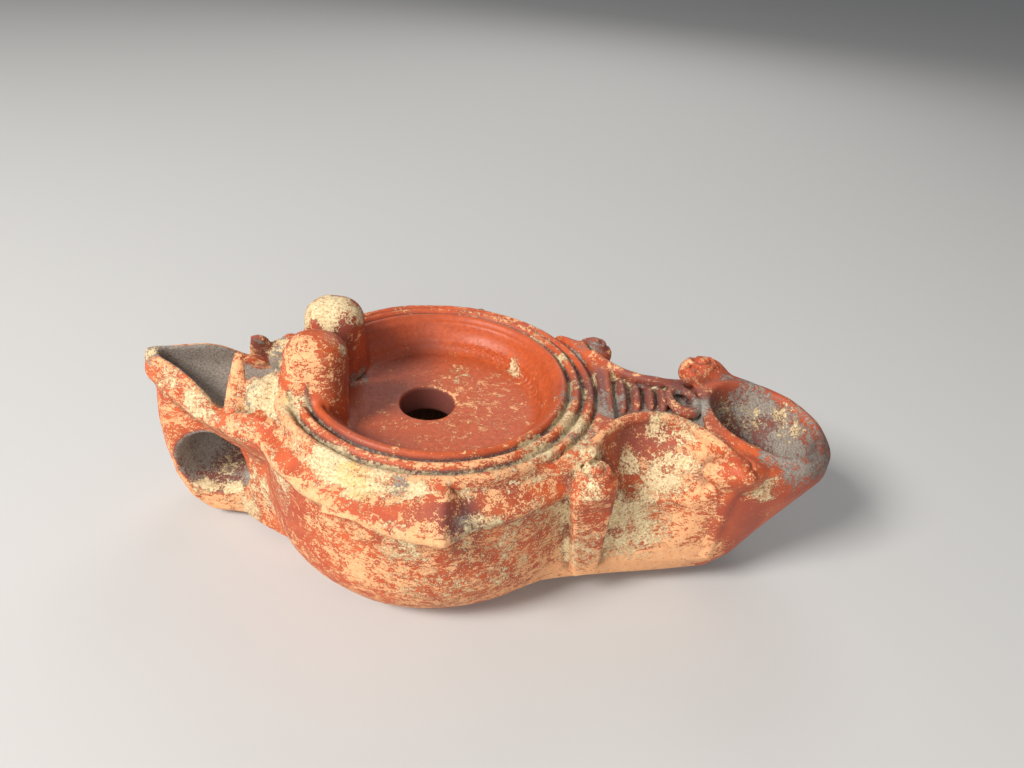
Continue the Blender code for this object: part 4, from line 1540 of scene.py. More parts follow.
class Effects:
    """The shared surface effects, each a node group that is built once."""

    def __init__(self) -> None:
        """Build every group."""
        self.worn_slip = self.make_worn_slip()
        self.lime_crust = self.make_lime_crust()
        self.clay_tone = self.make_clay_tone()
        self.clay_grain = self.make_clay_grain()
        self.mould_line = self.make_mould_line()

    def start(self, name: str, inputs: Sequence[str], outputs: Sequence[str]) -> tuple[Graph, dict, dict]:
        """Start a group.

        Args:
            name: name of the group.
            inputs: its number inputs; Vector is added first.
            outputs: its number outputs.

        Returns:
            The graph, its inputs and its output sockets by name.
        """
        tree = bpy.data.node_groups.new(name, "ShaderNodeTree")
        tree.interface.new_socket("Vector", in_out="INPUT", socket_type="NodeSocketVector")
        for title in inputs:
            tree.interface.new_socket(title, in_out="INPUT", socket_type="NodeSocketFloat")
        for title in outputs:
            tree.interface.new_socket(title, in_out="OUTPUT", socket_type="NodeSocketFloat")
        graph = Graph(tree)
        given = {socket.name: socket for socket in graph.node("NodeGroupInput").outputs if socket.name}
        wanted = {socket.name: socket for socket in graph.node("NodeGroupOutput").inputs if socket.name}
        return graph, given, wanted

    def make_worn_slip(self) -> Tree:
        """Where the slip has flaked off: Wear is the share of the surface that is bare.

        Returns:
            The node group.
        """
        graph, given, wanted = self.start("worn_slip", ("Wear", "Edge"), ("Bare", "Rim"))
        vector = given["Vector"]
        flakes = graph.noise(vector, 0.30, 9.0, 0.72, 0.5)
        streaks = graph.noise(graph.stretch(vector, (0.55, 0.65, 1.3)), 1.2, 7.0, 0.76, 0.5)
        specks = graph.noise(vector, 2.8, 3.0, 0.7)
        value = self.spread(graph, ((flakes, 0.36), (streaks, 0.40), (specks, 0.24)), 2.3)
        worn = graph.times(graph.less(given["Wear"], 0.5), 0.55)
        push = graph.add(worn, graph.times(given["Edge"], 0.07))
        self.split(graph, graph.add(value, push), wanted["Bare"], wanted["Rim"])
        return graph.tree

    def make_lime_crust(self) -> Tree:
        """Where a crust lies: Amount is the share of the surface that it covers.

        Returns:
            The node group.
        """
        outputs = ("Mask", "Rim", "Height", "Dirt", "Pits")
        graph, given, wanted = self.start("lime_crust", ("Amount", "Hollow"), outputs)
        vector = given["Vector"]
        broad = graph.noise(vector, 0.31, 8.0, 0.70, 0.6)
        fine = graph.noise(vector, 1.15, 6.0, 0.74, 0.5)
        grit = graph.noise(vector, 2.4, 4.0, 0.65)
        value = self.spread(graph, ((broad, 0.36), (fine, 0.40), (grit, 0.24)), 2.2)
        covered = graph.times(graph.less(given["Amount"], 0.5), 0.6)
        push = graph.add(covered, graph.times(given["Hollow"], 0.10))
        mask = self.split(graph, graph.add(value, push), wanted["Mask"], wanted["Rim"])
        rough = graph.add(graph.times(fine, 0.9), graph.times(grit, 0.8))
        graph.feed(wanted["Height"], graph.times(mask, rough))
        mottle = graph.noise(graph.stretch(vector, (1.0, 1.0, 1.2)), 1.5, 6.0, 0.75, 0.4)
        graph.feed(wanted["Dirt"], graph.step(mottle, 0.40, 0.64))
        pits = graph.add(graph.times(grit, 0.5), graph.times(mottle, 0.5))
        graph.feed(wanted["Pits"], graph.step(pits, 0.565, 0.60))
        return graph.tree

    def spread(self, graph: Graph, parts: Sequence[tuple[object, float]], gain: float) -> Socket:
        """Add weighted patterns and stretch the sum about its middle.

        Args:
            graph: the graph that is built.
            parts: each pattern with its weight.
            gain: how far the sum is stretched.

        Returns:
            The stretched sum, still about 0.5 in the middle.
        """
        total: object = 0.5 * (1.0 - gain)
        for pattern, weight in parts:
            total = graph.add(graph.times(pattern, weight * gain), total)
        return total

    def split(self, graph: Graph, value: object, mask: Socket, rim: Socket) -> Socket:
        """Cut a pattern at 0.5 into a mask, with a thin rim just outside it.

        Args:
            graph: the graph that is built.
            value: the pattern.
            mask: output that takes the mask.
            rim: output that takes the rim.

        Returns:
            The mask.
        """
        cut = graph.step(value, 0.485, 0.515)
        around = graph.step(value, 0.43, 0.485)
        graph.feed(mask, cut)
        graph.feed(rim, graph.less(around, cut, True))
        return cut

    def make_clay_tone(self) -> Tree:
        """Slow and fine changes of tone in the clay and its slip.

        Returns:
            The node group.
        """
        graph, given, wanted = self.start("clay_tone", (), ("Broad", "Fine", "Blush"))
        vector = given["Vector"]
        graph.feed(wanted["Broad"], graph.step(graph.noise(vector, 0.045, 4.0, 0.6, 0.5), 0.35, 0.65))
        graph.feed(wanted["Fine"], graph.step(graph.noise(vector, 0.9, 5.0, 0.7), 0.3, 0.7))
        graph.feed(wanted["Blush"], graph.step(graph.noise(vector, 0.11, 5.0, 0.65, 0.8), 0.42, 0.66))
        return graph.tree

    def make_mould_line(self) -> Tree:
        """The thin, broken line where the two halves of the mould met, under the seam.

        Returns:
            The node group.
        """
        graph, given, wanted = self.start("mould_line", (), ("Line",))
        vector = given["Vector"]
        parts = graph.node("ShaderNodeSeparateXYZ")
        graph.feed(parts.inputs[0], vector)
        wave = graph.times(graph.less(graph.noise(vector, 0.12, 4.0, 0.6), 0.5), 4.0)
        past = graph.math("MAXIMUM", graph.less(parts.outputs["X"], 18.0), 0.0)
        fall = graph.times(past, -0.1)
        level = graph.add(graph.add(wave, fall), 35.9)
        away = graph.math("ABSOLUTE", graph.less(parts.outputs["Z"], level))
        line = graph.less(1.0, graph.step(away, 0.05, 0.26))
        broken = graph.step(graph.noise(vector, 0.25, 4.0, 0.6), 0.44, 0.54)
        flat = graph.stretch(vector, (1.0, 1.0, 0.0))
        across = graph.make("ShaderNodeVectorMath", {0: flat}, "Value", operation="LENGTH")
        outer = graph.step(across, 40.0, 41.5)
        outer = graph.times(outer, graph.less(1.0, graph.step(parts.outputs["X"], 58.0, 64.0)))
        line = graph.times(graph.times(line, broken), outer)
        graph.feed(wanted["Line"], line)
        return graph.tree

    def make_clay_grain(self) -> Tree:
        """Fine grain and pits of fired clay.

        Returns:
            The node group.
        """
        graph, given, wanted = self.start("clay_grain", (), ("Height", "Pits"))
        vector = given["Vector"]
        grain = graph.noise(vector, 2.2, 4.0, 0.65)
        swell = graph.noise(vector, 0.35, 3.0, 0.5)
        pits = graph.step(graph.cells(vector, 0.55), 0.10, 0.19)
        graph.feed(wanted["Pits"], graph.less(1.0, pits))
        height = graph.add(graph.times(grain, 0.35), graph.times(swell, 0.8))
        graph.feed(wanted["Height"], graph.add(height, graph.times(pits, 0.2)))
        return graph.tree


@dataclass(frozen=True)
class SlippedClay:
    """Fired clay under a worn red slip, with lime, ashes and sooty colour on it, and shade painted into
    its hollows, holes and grooves.

    Args:
        name: name of the material.
        wear: how much of the slip has flaked off before edges and stains count.
        crust: how much lime lies everywhere.
        slip_roughness: roughness of the slip where it is whole.
        crust_roughness: roughness of bare clay, lime and ash.
        sheen: strength of the reflections.
        bump: strength of the fine relief.
        bump_depth: its depth in metres.
    """

    name: str = "slipped_terracotta"
    wear: float = 0.0
    crust: float = 0.0
    slip_roughness: float = 0.46
    crust_roughness: float = 0.86
    sheen: float = 0.3
    bump: float = 0.55
    bump_depth: float = 0.0006
    slip: Colour = (0.50, 0.080, 0.026, 1.0)
    slip_bright: Colour = (0.64, 0.125, 0.036, 1.0)
    slip_dark: Colour = (0.24, 0.040, 0.018, 1.0)
    slip_discus: Colour = (0.53, 0.098, 0.026, 1.0)
    # purple: slip that fired darker, and painted shade where the dark layer marks shaded places.
    purple: Colour = (0.20, 0.060, 0.046, 1.0)
    bare: Colour = (0.77, 0.35, 0.155, 1.0)
    bare_light: Colour = (0.81, 0.46, 0.24, 1.0)
    lime: Colour = (0.82, 0.67, 0.41, 1.0)
    lime_brown: Colour = (0.56, 0.36, 0.17, 1.0)
    lime_dirty: Colour = (0.22, 0.13, 0.07, 1.0)
    ochre: Colour = (0.74, 0.47, 0.12, 1.0)
    ash: Colour = (0.12, 0.10, 0.085, 1.0)
    ash_and_shade_light: Colour = (0.37, 0.32, 0.27, 1.0)
    soot: Colour = (0.055, 0.045, 0.042, 1.0)
    shade: Colour = (0.10, 0.045, 0.035, 1.0)

    def attribute(self, graph: Graph, name: str) -> Socket:
        """Read a value that the mesh carries."""
        return graph.node("ShaderNodeAttribute", attribute_name=name).outputs["Fac"]

    def material(self, effects: Effects) -> bpy.types.Material:
        """Build the material.

        Args:
            effects: the shared node groups.

        Returns:
            The finished material.
        """
        material = bpy.data.materials.new(self.name)
        material.use_nodes = True
        material.diffuse_color = self.slip
        graph = Graph(material.node_tree)
        shader = material.node_tree.nodes["Principled BSDF"]
        names = [kind.value for kind in StainAndShade] + ["hollow", "edge", "gloss", "punch", "wear"]
        read = {name: self.attribute(graph, name) for name in names}
        nodes = self.place_effects(graph, effects, read)
        graph.feed(shader.inputs["Base Color"], self.colour(graph, nodes, read))
        graph.feed(shader.inputs["Roughness"], self.roughness(graph, nodes, read))
        graph.feed(shader.inputs["Normal"], self.relief(graph, nodes, read))
        shader.inputs["Specular IOR Level"].default_value = self.sheen
        return material

    def place_effects(self, graph: Graph, effects: Effects, read: Sockets) -> dict[str, Node]:
        """Place the shared effects and feed them what the mesh carries.

        Args:
            graph: the graph that is built.
            effects: the shared node groups.
            read: what the mesh carries, by name.

        Returns:
            The placed nodes by name.
        """
        place = graph.node("ShaderNodeTexCoord").outputs["Object"]
        vector = graph.stretch(place, (1.0 / MM, 1.0 / MM, 1.0 / MM))
        bare = graph.add(graph.add(read["bare"], read["wear"]), self.wear)
        amount = graph.add(read["lime"], self.crust)
        finer = graph.stretch(vector, (1.3, 1.3, 1.3))
        return {
            "tone": graph.use(effects.clay_tone, Vector=vector),
            "grain": graph.use(effects.clay_grain, Vector=vector),
            "line": graph.use(effects.mould_line, Vector=vector),
            "worn": graph.use(effects.worn_slip, Vector=vector, Wear=bare, Edge=read["edge"]),
            "crust": graph.use(effects.lime_crust, Vector=vector, Amount=amount,
                               Hollow=read["hollow"]),
            "grime_and_shade": graph.use(effects.lime_crust, Vector=finer, Amount=read["ash"],
                               Hollow=graph.times(read["hollow"], 1.25)),
        }

    def slip_colour(self, graph: Graph, tone: Sockets, read: Sockets) -> Socket:
        """Mix the red slip, smoother on the discus, and purple where the dark layer lies: slip that fired
        darker, and painted shade.

        Args:
            graph: the graph that is built.
            tone: outputs of the tone group.
            read: what the mesh carries, by name.

        Returns:
            The colour.
        """
        slip = graph.blend(tone["Blush"], self.slip, self.slip_bright)
        slip = graph.blend(graph.times(tone["Broad"], 0.35), slip, self.slip_dark)
        smooth = graph.blend(graph.times(tone["Fine"], 0.55), self.slip_discus, self.slip_dark)
        slip = graph.blend(read["gloss"], slip, smooth)
        # The dark layer paints purple for darker-fired slip and for shade: lobe shadows, shaded faces,
        # the finger hole and the ring grooves.
        return graph.blend(read["dark"], slip, self.purple)

    def colour(self, graph: Graph, nodes: dict[str, Node], read: Sockets) -> Socket:
        """Lay slip, bare clay, painted shade in hollows, grey ashes with painted shade, lime, sooty
        colour with painted shade in the grooves and the mould line over one another.

        Args:
            graph: the graph that is built.
            nodes: the placed effects by name.
            read: what the mesh carries, by name.

        Returns:
            The colour.
        """
        tone, grain, worn, crust, grime_and_shade = (
            nodes[name].outputs for name in ("tone", "grain", "worn", "crust", "grime_and_shade")
        )
        slip = self.slip_colour(graph, tone, read)
        slip = graph.blend(graph.times(worn["Rim"], 0.45), slip, self.slip_dark)
        clay = graph.blend(tone["Fine"], self.bare, self.bare_light)
        clay = graph.blend(graph.times(crust["Pits"], 0.5), clay, self.slip_bright)
        clay = graph.blend(graph.times(grain["Pits"], 0.65), clay, self.lime_dirty)
        chalk = graph.blend(crust["Dirt"], self.lime, self.lime_brown)
        chalk = graph.blend(crust["Pits"], chalk, self.lime_dirty)
        chalk = graph.blend(graph.times(read["ochre"], tone["Fine"]), chalk, self.ochre)
        mottle = graph.blend(graph.times(grime_and_shade["Dirt"], 0.7), self.ash_and_shade_light, self.ash)
        mottle = graph.blend(graph.times(grime_and_shade["Pits"], 0.35), mottle, self.soot)
        layers = (
            (worn["Bare"], clay),
            # Painted shade: the shade colour fills hollows and creases where the hollow mask is high.
            (graph.times(graph.less(read["hollow"], 0.25, True), 0.75), self.shade),
            # Grey ashes, and painted shade in the finger hole, the leaf's trough and the ring grooves.
            (graph.times(grime_and_shade["Rim"], 0.5), self.ash),
            (grime_and_shade["Mask"], mottle),
            (graph.times(crust["Rim"], 0.5), self.lime_dirty),
            (crust["Mask"], chalk),
            # Sooty colour, and painted shade in the ring grooves.
            (graph.times(read["soot"], graph.add(tone["Fine"], 0.4), True), self.soot),
            (graph.times(nodes["line"].outputs["Line"], 0.65), self.lime_dirty),
        )
        colour = slip
        for share, layer in layers:
            colour = graph.blend(share, colour, layer)
        return colour

    def roughness(self, graph: Graph, nodes: dict[str, Node], read: Sockets) -> Socket:
        """Make whole slip the smoothest and everything that covers it rough.

        Args:
            graph: the graph that is built.
            nodes: the placed effects by name.
            read: what the mesh carries, by name.

        Returns:
            The roughness.
        """
        cover = graph.math("MAXIMUM", nodes["worn"].outputs["Bare"], nodes["crust"].outputs["Mask"])
        cover = graph.math("MAXIMUM", cover, nodes["grime_and_shade"].outputs["Mask"])
        rough = graph.blend_value(cover, self.slip_roughness, self.crust_roughness)
        rough = graph.add(rough, graph.times(nodes["tone"].outputs["Fine"], 0.08))
        return graph.less(rough, graph.times(read["gloss"], 0.08))

    def relief(self, graph: Graph, nodes: dict[str, Node], read: Sockets) -> Socket:
        """Give the fine relief of grain, flakes, crusts, punched marks and mould line.

        Args:
            graph: the graph that is built.
            nodes: the placed effects by name.
            read: what the mesh carries, by name.

        Returns:
            The bent normal.
        """
        height: object = read["punch"]
        parts = (
            ("grain", "Height", 0.35), ("worn", "Bare", -0.30), ("crust", "Height", 0.80),
            ("grime_and_shade", "Height", 0.35), ("line", "Line", -0.8),
        )
        for name, output, deep in parts:
            height = graph.add(height, graph.times(nodes[name].outputs[output], deep))
        inputs = {"Strength": self.bump, "Distance": self.bump_depth, "Height": height}
        return graph.make("ShaderNodeBump", inputs, "Normal")


# The lamp


@dataclass(frozen=True)
class Hollow:
    """Rough shape of the hidden hollow, which tells the inner faces from the outer ones."""

    plan: Plan
    bowl_roof: float = 37.0
    discus_reach: float = 30.0
    discus_roof: float = 33.2
    shoulder_roof: float = 37.9
    curve_levels: tuple[float, ...] = (4.8, 6.0, 9.0, 19.0)
    curve_radii: tuple[float, ...] = (25.5, 31.0, 35.6, 38.3)
    nozzle_roof: float = 27.4
    nozzle_floor: float = 8.7
    nozzle_root: float = 24.0

    def distance(self, points: Grid) -> Grid:
        """Measure from the hollow of the bowl and the nozzle.

        Args:
            points: rows of x, y and z in millimetres.

        Returns:
            The distance, negative inside.
        """
        x, y, z = points.T
        plan = self.plan
        across = np.hypot(x, y)
        bowl = np.maximum(across - plan.bowl_radius + plan.wall, z - self.bowl_roof)
        roof = np.where(across < self.discus_reach, z - self.discus_roof, z - self.shoulder_roof)
        bowl = np.maximum(np.maximum(bowl, plan.wall - z), roof)
        bowl = np.maximum(bowl, across - np.interp(z, self.curve_levels, self.curve_radii))
        nozzle = Nozzle(plan).sides(x, y, z, plan.nozzle_wall)
        nozzle = np.maximum(np.maximum(nozzle, z - self.nozzle_roof), self.nozzle_floor - z)
        return np.minimum(bowl, np.maximum(nozzle, self.nozzle_root - x))


class Zones:
    """Masks, from 0 to 1 at each vertex, of the places that wear and take painted shade in their own way.

    Besides the masks it keeps along, across, angle and height, which place the vertices.
    """

    top_levels: tuple[float, float] = (41.0, 48.5)
    top_reach: float = 42.0
    groove_radii: tuple[float, float] = (32.75, 36.2)
    seam_line: float = 37.8
    bore_reach: float = 7.9
    finger_reach: float = 9.5
    wick_reach: tuple[float, float] = (14.5, 15.3)

    def __init__(self, plan: Plan, points: Grid, facing: Grid) -> None:
        """Work out every mask.

        Args:
            plan: shared sizes.
            points: rows of x, y and z in millimetres.
            facing: upward part of each normal.
        """
        x, y, z = points.T
        self.along, self.height = x, z
        self.across, self.angle = np.hypot(x, y), np.arctan2(y, x)
        self.near = smooth_step(10.0, -18.0, y)
        self.left = smooth_step(30.0, -10.0, x)
        self.low = smooth_step(13.5, 10.5, z)
        self.inner = smooth_step(0.2, 1.0, -Hollow(plan).distance(points))
        self.mark_bowl(Bowl(plan), points, facing)
        self.mark_handle(plan, points)
        self.mark_nozzle(plan, points)

    def mark_bowl(self, bowl: Bowl, points: Grid, facing: Grid) -> None:
        """Mark the discus, its rings, the seam and the filling hole.

        Args:
            bowl: sizes of the bowl.
            points: rows of x, y and z in millimetres.
            facing: upward part of each normal.
        """
        x, y, z = points.T
        across = self.across
        self.discus = smooth_step(31.0, 28.5, across) * smooth_step(36.0, 37.0, z) * (facing > 0.0)
        self.top = (z > self.top_levels[0]) * (z < self.top_levels[1]) * (across < self.top_reach)
        self.lip = self.top * smooth_step(32.9, 32.1, across) * (across > 28.0)
        self.outer_ring = self.top * smooth_step(35.6, 36.4, across)
        inner, outer = (np.abs(across - radius) for radius in self.groove_radii)
        self.groove = self.top * smooth_step(0.9, 0.2, np.minimum(inner, outer))
        self.band = np.exp(-(((z - self.seam_line) / 1.0) ** 2))
        self.band = self.band * (across > 41.5) * (across < 51.0) * (x < 9.0)
        self.bore = (np.hypot(x - bowl.fill_x, y) < self.bore_reach) * (z > 26.0) * (z < 37.2)

    def mark_handle(self, plan: Plan, points: Grid) -> None:
        """Mark the trough of the leaf and the finger hole.

        Args:
            plan: shared sizes.
            points: rows of x, y and z in millimetres.
        """
        x, y, z = points.T
        leaf, hole = Leaf(plan), Handle(plan).hole
        trough = smooth_step(0.9, 0.2, leaf.trough(x, y, z)) * smooth_step(-40.0, -43.0, x)
        self.trough = trough * smooth_step(0.7, 1.6, leaf.flame(51.0, 5.0)(x, np.abs(y), z))
        away = np.hypot(x - hole[0], z - hole[1]) - self.finger_reach
        self.finger = smooth_step(1.6, 0.1, away) * (np.abs(y) < 10.4)

    def mark_nozzle(self, plan: Plan, points: Grid) -> None:
        """Mark the end of the nozzle, the wick hole and the tongue of its neck.

        Args:
            plan: shared sizes.
            points: rows of x, y and z in millimetres.
        """
        x, y, z = points.T
        self.nozzle = smooth_step(66.0, 76.0, x)
        away = np.hypot((x - Nozzle(plan).wick_x) / self.wick_reach[0], y / self.wick_reach[1])
        self.wick = smooth_step(1.0, 0.7, away) * (z < plan.nozzle_top(x) - 0.6)
        tongue = smooth_step(36.0, 42.0, x) * smooth_step(70.0, 64.0, x)
        self.tongue = tongue * (z > 42.0) * (np.abs(y) < 9.0)


@dataclass
class Lamp:
    """The whole lamp: shapes the clay, skins it, wears it and dresses it.

    Args:
        plan: shared sizes.
        step: spacing of the clay's grid, in millimetres.
        faces: most triangles that the piece may have.
    """

    plan: Plan = field(default_factory=Plan)
    step: float = FINE_STEP
    faces: int = 192000
    block: tuple[Point, Point] = ((-76.0, 0.0, -2.5), (102.5, 53.0, 63.0))
    most_bare: float = 0.75
    punch_radius: float = 25.6
    punch_count: int = 92
    punch_depth: float = 1.3
    chip_middle: Point = (49.6, -26.2, 33.6)
    chip_radii: Point = (2.8, 1.8, 1.6)
    mould_step: tuple[Point, Point] = ((45.0, -26.2, 32.4), (64.0, -23.8, 31.0))

    def shape(self) -> Clay:
        """Build up and cut the clay, in the order in which the mould would show it.

        Returns:
            The finished block of clay.
        """
        plan = self.plan
        clay = Clay(*self.block, self.step)
        bowl, nozzle, handle, leaf = Bowl(plan), Nozzle(plan), Handle(plan), Leaf(plan)
        for part in (bowl, nozzle, handle, leaf):
            part.add_body(clay)
            LOG.info("%s added", type(part).__name__.lower())
        bowl.clear_top(clay)
        leaf.carve(clay)
        nozzle.add_wick_lip(clay)
        clay.mirror()
        nozzle.scoop(clay)
        nozzle.carve(clay)
        leaf.dress_up(clay)
        for side in Side:
            volutes = Volutes(plan, side)
            volutes.add_body(clay)
            volutes.carve(clay)
            for part in (Lugs(plan, side), Lobes(plan, side)):
                part.add_body(clay)
        LOG.info("volutes, lugs and lobes added on both sides")
        handle.pierce(clay)
        bowl.cut_hollow(clay)
        nozzle.cut_hollow(clay)
        self.chip(clay)
        return clay

    def chip(self, clay: Clay) -> None:
        """Cut the chip and the mould line that only the near side has."""
        clay.cut(ellipsoid(self.chip_middle, self.chip_radii), 0.4)
        clay.cut(rod(*self.mould_step, 0.5, 0.4), 0.5)

    def mesh(self, clay: Clay) -> Piece:
        """Skin the clay and thin the skin out to the number of triangles wanted.

        Args:
            clay: the block of clay.

        Returns:
            The thinned mesh object.
        """
        points, faces = clay.skin()
        LOG.info("skin of %d faces", len(faces))
        piece = make_mesh("lamp_body", points, faces)
        smooth = piece.modifiers.new("settle", "SMOOTH")
        smooth.factor = 0.5
        smooth.iterations = 2
        thin = piece.modifiers.new("thin", "DECIMATE")
        thin.ratio = min(1.0, self.faces / (2 * len(faces)))
        apply_modifiers(piece)
        return piece

    def wear(self, piece: Piece, clay: Clay) -> None:
        """Roughen the surface and store what each vertex carries.

        Args:
            piece: the lamp's mesh object.
            clay: the block of clay.
        """
        wear = Wear()
        mesh = piece.data
        points = read_points(mesh)
        normals = np.empty(len(points) * 3, dtype=np.float32)
        mesh.vertex_normals.foreach_get("vector", normals)
        normals = normals.reshape(-1, 3).astype(float)
        level = clay.sample(clay.field, points)
        fine, wide = (clay.sample(clay.blurred(reach), points) - level for reach in (1.5, 4.0))
        # hollow: how sunk each vertex lies; it places crust and also paints shade in recesses.
        hollow = smooth_step(0.02, -0.32, fine) + 0.6 * smooth_step(0.0, -1.2, wide)
        found = wear.stains_and_shade(points)
        swell = wear.noise(points, 16.0, 2) * 0.16 + wear.noise(points, 4.5, 2) * 0.05
        crusty = found[StainAndShade.LIME] * (wear.noise(points, 2.4, 3) * 0.16 + 0.12)
        lift = np.where(points[:, 2] > 0.6, swell + crusty, 0.0)
        points = points + normals * lift[:, None]
        write_points(mesh, points)

        zone = Zones(self.plan, points, normals[:, 2])
        self.gather(found, zone)
        stored = {kind.value: values for kind, values in found.items()}
        stored["wear"] = self.bareness(wear.noise(points, 22.0, 2), zone, found[StainAndShade.DARK])
        stored["bare"] = 0.36 * found[StainAndShade.BARE]
        stored["hollow"] = np.clip(hollow, 0.0, 1.0) * (1.0 - 0.8 * zone.discus) * (1.0 - zone.bore)
        stored["edge"] = smooth_step(0.12, 0.5, fine) * (1.0 - zone.inner) * (1.0 - 0.6 * zone.lip)
        stored["gloss"] = np.maximum(zone.discus, 0.6 * zone.lip)
        stored["punch"] = self.punched_circle(zone.across, zone.angle) * zone.discus
        for name, values in stored.items():
            layer = mesh.attributes.new(name, "FLOAT", "POINT")
            layer.data.foreach_set("value", values.astype(np.float32))

    def gather(self, found: dict[StainAndShade, Grid], zone: Zones) -> None:
        """Add what the lamp's own places gather: ashes, sooty colour, lime and dark slip, and the shade
        painted into the finger hole, the leaf's trough and the ring grooves.

        Args:
            found: stains at each vertex, changed in place.
            zone: masks of the lamp's places.
        """
        # Painted shade: the grey laid in the finger hole, the leaf's trough and the ring grooves stands
        # for shade as well as ashes.
        ash = 0.62 * found[StainAndShade.ASH] + 0.92 * zone.trough + zone.finger * (0.66 - 0.3 * zone.low)
        ash = ash + zone.groove * (0.06 + 0.20 * zone.near) + 0.22 * zone.tongue + 0.44 * zone.wick
        lime = 0.58 * found[StainAndShade.LIME]
        lime = lime + 0.10 * zone.near * (zone.height > 3.0) * (1.0 - zone.discus)
        lime = lime + 0.18 * zone.groove + 0.36 * zone.finger * zone.low
        lime = lime + 0.22 * zone.outer_ring * zone.near + 0.06 * zone.wick
        lime = lime - 0.12 * zone.lip + 0.12 * zone.discus - 0.5 * zone.bore
        # Painted shade: the finger hole and the ring grooves are darkened through the dark layer.
        dark = found[StainAndShade.DARK] + zone.finger + zone.groove + 0.35 * zone.tongue
        found[StainAndShade.ASH] = np.clip(ash, 0.0, 0.92)
        # Painted shade: the ring grooves get sooty colour.
        found[StainAndShade.SOOT] = np.clip(found[StainAndShade.SOOT] + 0.5 * zone.groove, 0.0, 0.9)
        found[StainAndShade.LIME] = np.clip(lime, 0.0, 0.9)
        found[StainAndShade.DARK] = np.clip(dark + 0.9 * zone.wick + zone.bore, 0.0, 1.0)

    def bareness(self, drift: Grid, zone: Zones, dark: Grid) -> Grid:
        """Share of the slip that has flaked off at each vertex.

        Args:
            drift: slow noise.
            zone: masks of the lamp's places.
            dark: the dark layer, darker-fired slip and painted shade.

        Returns:
            One share per vertex.
        """
        share = 0.37 + 0.10 * drift + 0.12 * smooth_step(24.0, 6.0, zone.height)
        share = share + 0.09 * zone.near * smooth_step(-15.0, 15.0, zone.along)
        spared = (
            (zone.nozzle, 0.62), (zone.discus, 0.40), (zone.lip, 0.45), (zone.finger, 0.5),
            (zone.wick, 0.3), (zone.tongue, 0.15), (zone.bore, 1.0),
        )
        for mask, part in spared:
            share = share * (1.0 - part * mask)
        share = share + 0.10 * smooth_step(-46.0, -60.0, zone.along) * (1.0 - zone.finger)
        share = share + 0.22 * zone.outer_ring * zone.near * zone.left
        share = share - 0.10 * zone.top * (1.0 - zone.near)
        return np.clip(share * (1.0 - 0.4 * dark) + 0.26 * zone.band, 0.0, self.most_bare)

    def punched_circle(self, across: Grid, angle: Grid) -> Grid:
        """Depth of the ring of small punched marks around the discus floor.

        Args:
            across: distance from the middle of the discus.
            angle: direction from that middle.

        Returns:
            The depth, 0 or less.
        """
        radius, count = self.punch_radius, self.punch_count
        along = (np.mod(angle * count / (2 * math.pi), 1.0) - 0.5) * 2 * math.pi * radius / count
        shown = smooth_step(1.5, 0.7, np.abs(angle - 0.2))
        mark = smooth_step(0.80, 0.25, np.hypot(along, (across - radius) * 0.8))
        return -self.punch_depth * shown * mark

    def dress(self, piece: Piece, effects: Effects) -> None:
        """Give the piece its outer clay, and its bare clay inside the hollow.

        Args:
            piece: the lamp's mesh object.
            effects: the shared node groups.
        """
        piece.data.materials.clear()
        piece.data.materials.append(SlippedClay().material(effects))
        piece.data.materials.append(
            SlippedClay(name="inner_clay", wear=0.9, crust=0.25, bare=(0.42, 0.20, 0.10, 1.0),
                        bare_light=(0.50, 0.27, 0.15, 1.0)).material(effects)
        )
        count = len(piece.data.polygons)
        centres = np.empty(count * 3, dtype=np.float32)
        piece.data.polygons.foreach_get("center", centres)
        points = centres.reshape(-1, 3) / MM
        bowl = Bowl(self.plan)
        bore = np.hypot(points[:, 0] - bowl.fill_x, points[:, 1]) < bowl.fill_radius + 2.0
        bore = bore & (points[:, 2] > bowl.fill_foot - 1.0)
        inside = (Hollow(self.plan).distance(points) < 0.5) & ~bore
        piece.data.polygons.foreach_set("material_index", inside.astype(np.int32))
        piece.data.polygons.foreach_set("use_smooth", np.ones(count, dtype=bool))
        piece.data.update()

    def build(self, effects: Effects) -> Piece:
        """Make the finished piece.

        Args:
            effects: the shared node groups.

        Returns:
            The finished piece.
        """
        clay = self.shape()
        piece = self.mesh(clay)
        self.wear(piece, clay)
        self.dress(piece, effects)
        return piece


def make_mesh(name: str, points: Grid, faces: Grid) -> Piece:
    """Make an object from points in millimetres and four-sided faces.

    Args:
        name: name of the piece.
        points: rows of x, y and z.
        faces: rows of four point numbers.

    Returns:
        The object, linked to the scene.
    """
    mesh = bpy.data.meshes.new(name)
    mesh.vertices.add(len(points))
    mesh.vertices.foreach_set("co", (points * MM).astype(np.float32).ravel())
    mesh.loops.add(faces.size)
    mesh.loops.foreach_set("vertex_index", faces.astype(np.int32).ravel())
    mesh.polygons.add(len(faces))
    mesh.polygons.foreach_set("loop_start", np.arange(0, faces.size, 4, dtype=np.int32))
    mesh.update(calc_edges=True)
    piece = bpy.data.objects.new(name, mesh)
    bpy.context.scene.collection.objects.link(piece)
    return piece


def apply_modifiers(piece: Piece) -> None:
    """Replace the mesh of a piece by what its modifiers give.

    Args:
        piece: the lamp's mesh object.
    """
    bpy.context.view_layer.update()
    shown = piece.evaluated_get(bpy.context.evaluated_depsgraph_get())
    done = bpy.data.meshes.new_from_object(shown)
    piece.modifiers.clear()
    piece.data = done


def read_points(mesh: bpy.types.Mesh) -> Grid:
    """Read the vertices in millimetres.

    Args:
        mesh: the mesh.

    Returns:
        Rows of x, y and z.
    """
    flat = np.empty(len(mesh.vertices) * 3, dtype=np.float32)
    mesh.vertices.foreach_get("co", flat)
    return flat.reshape(-1, 3).astype(float) / MM


def write_points(mesh: bpy.types.Mesh, points: Grid) -> None:
    """Write the vertices back."""
    mesh.vertices.foreach_set("co", (points * MM).astype(np.float32).ravel())
    mesh.update()


# Studio


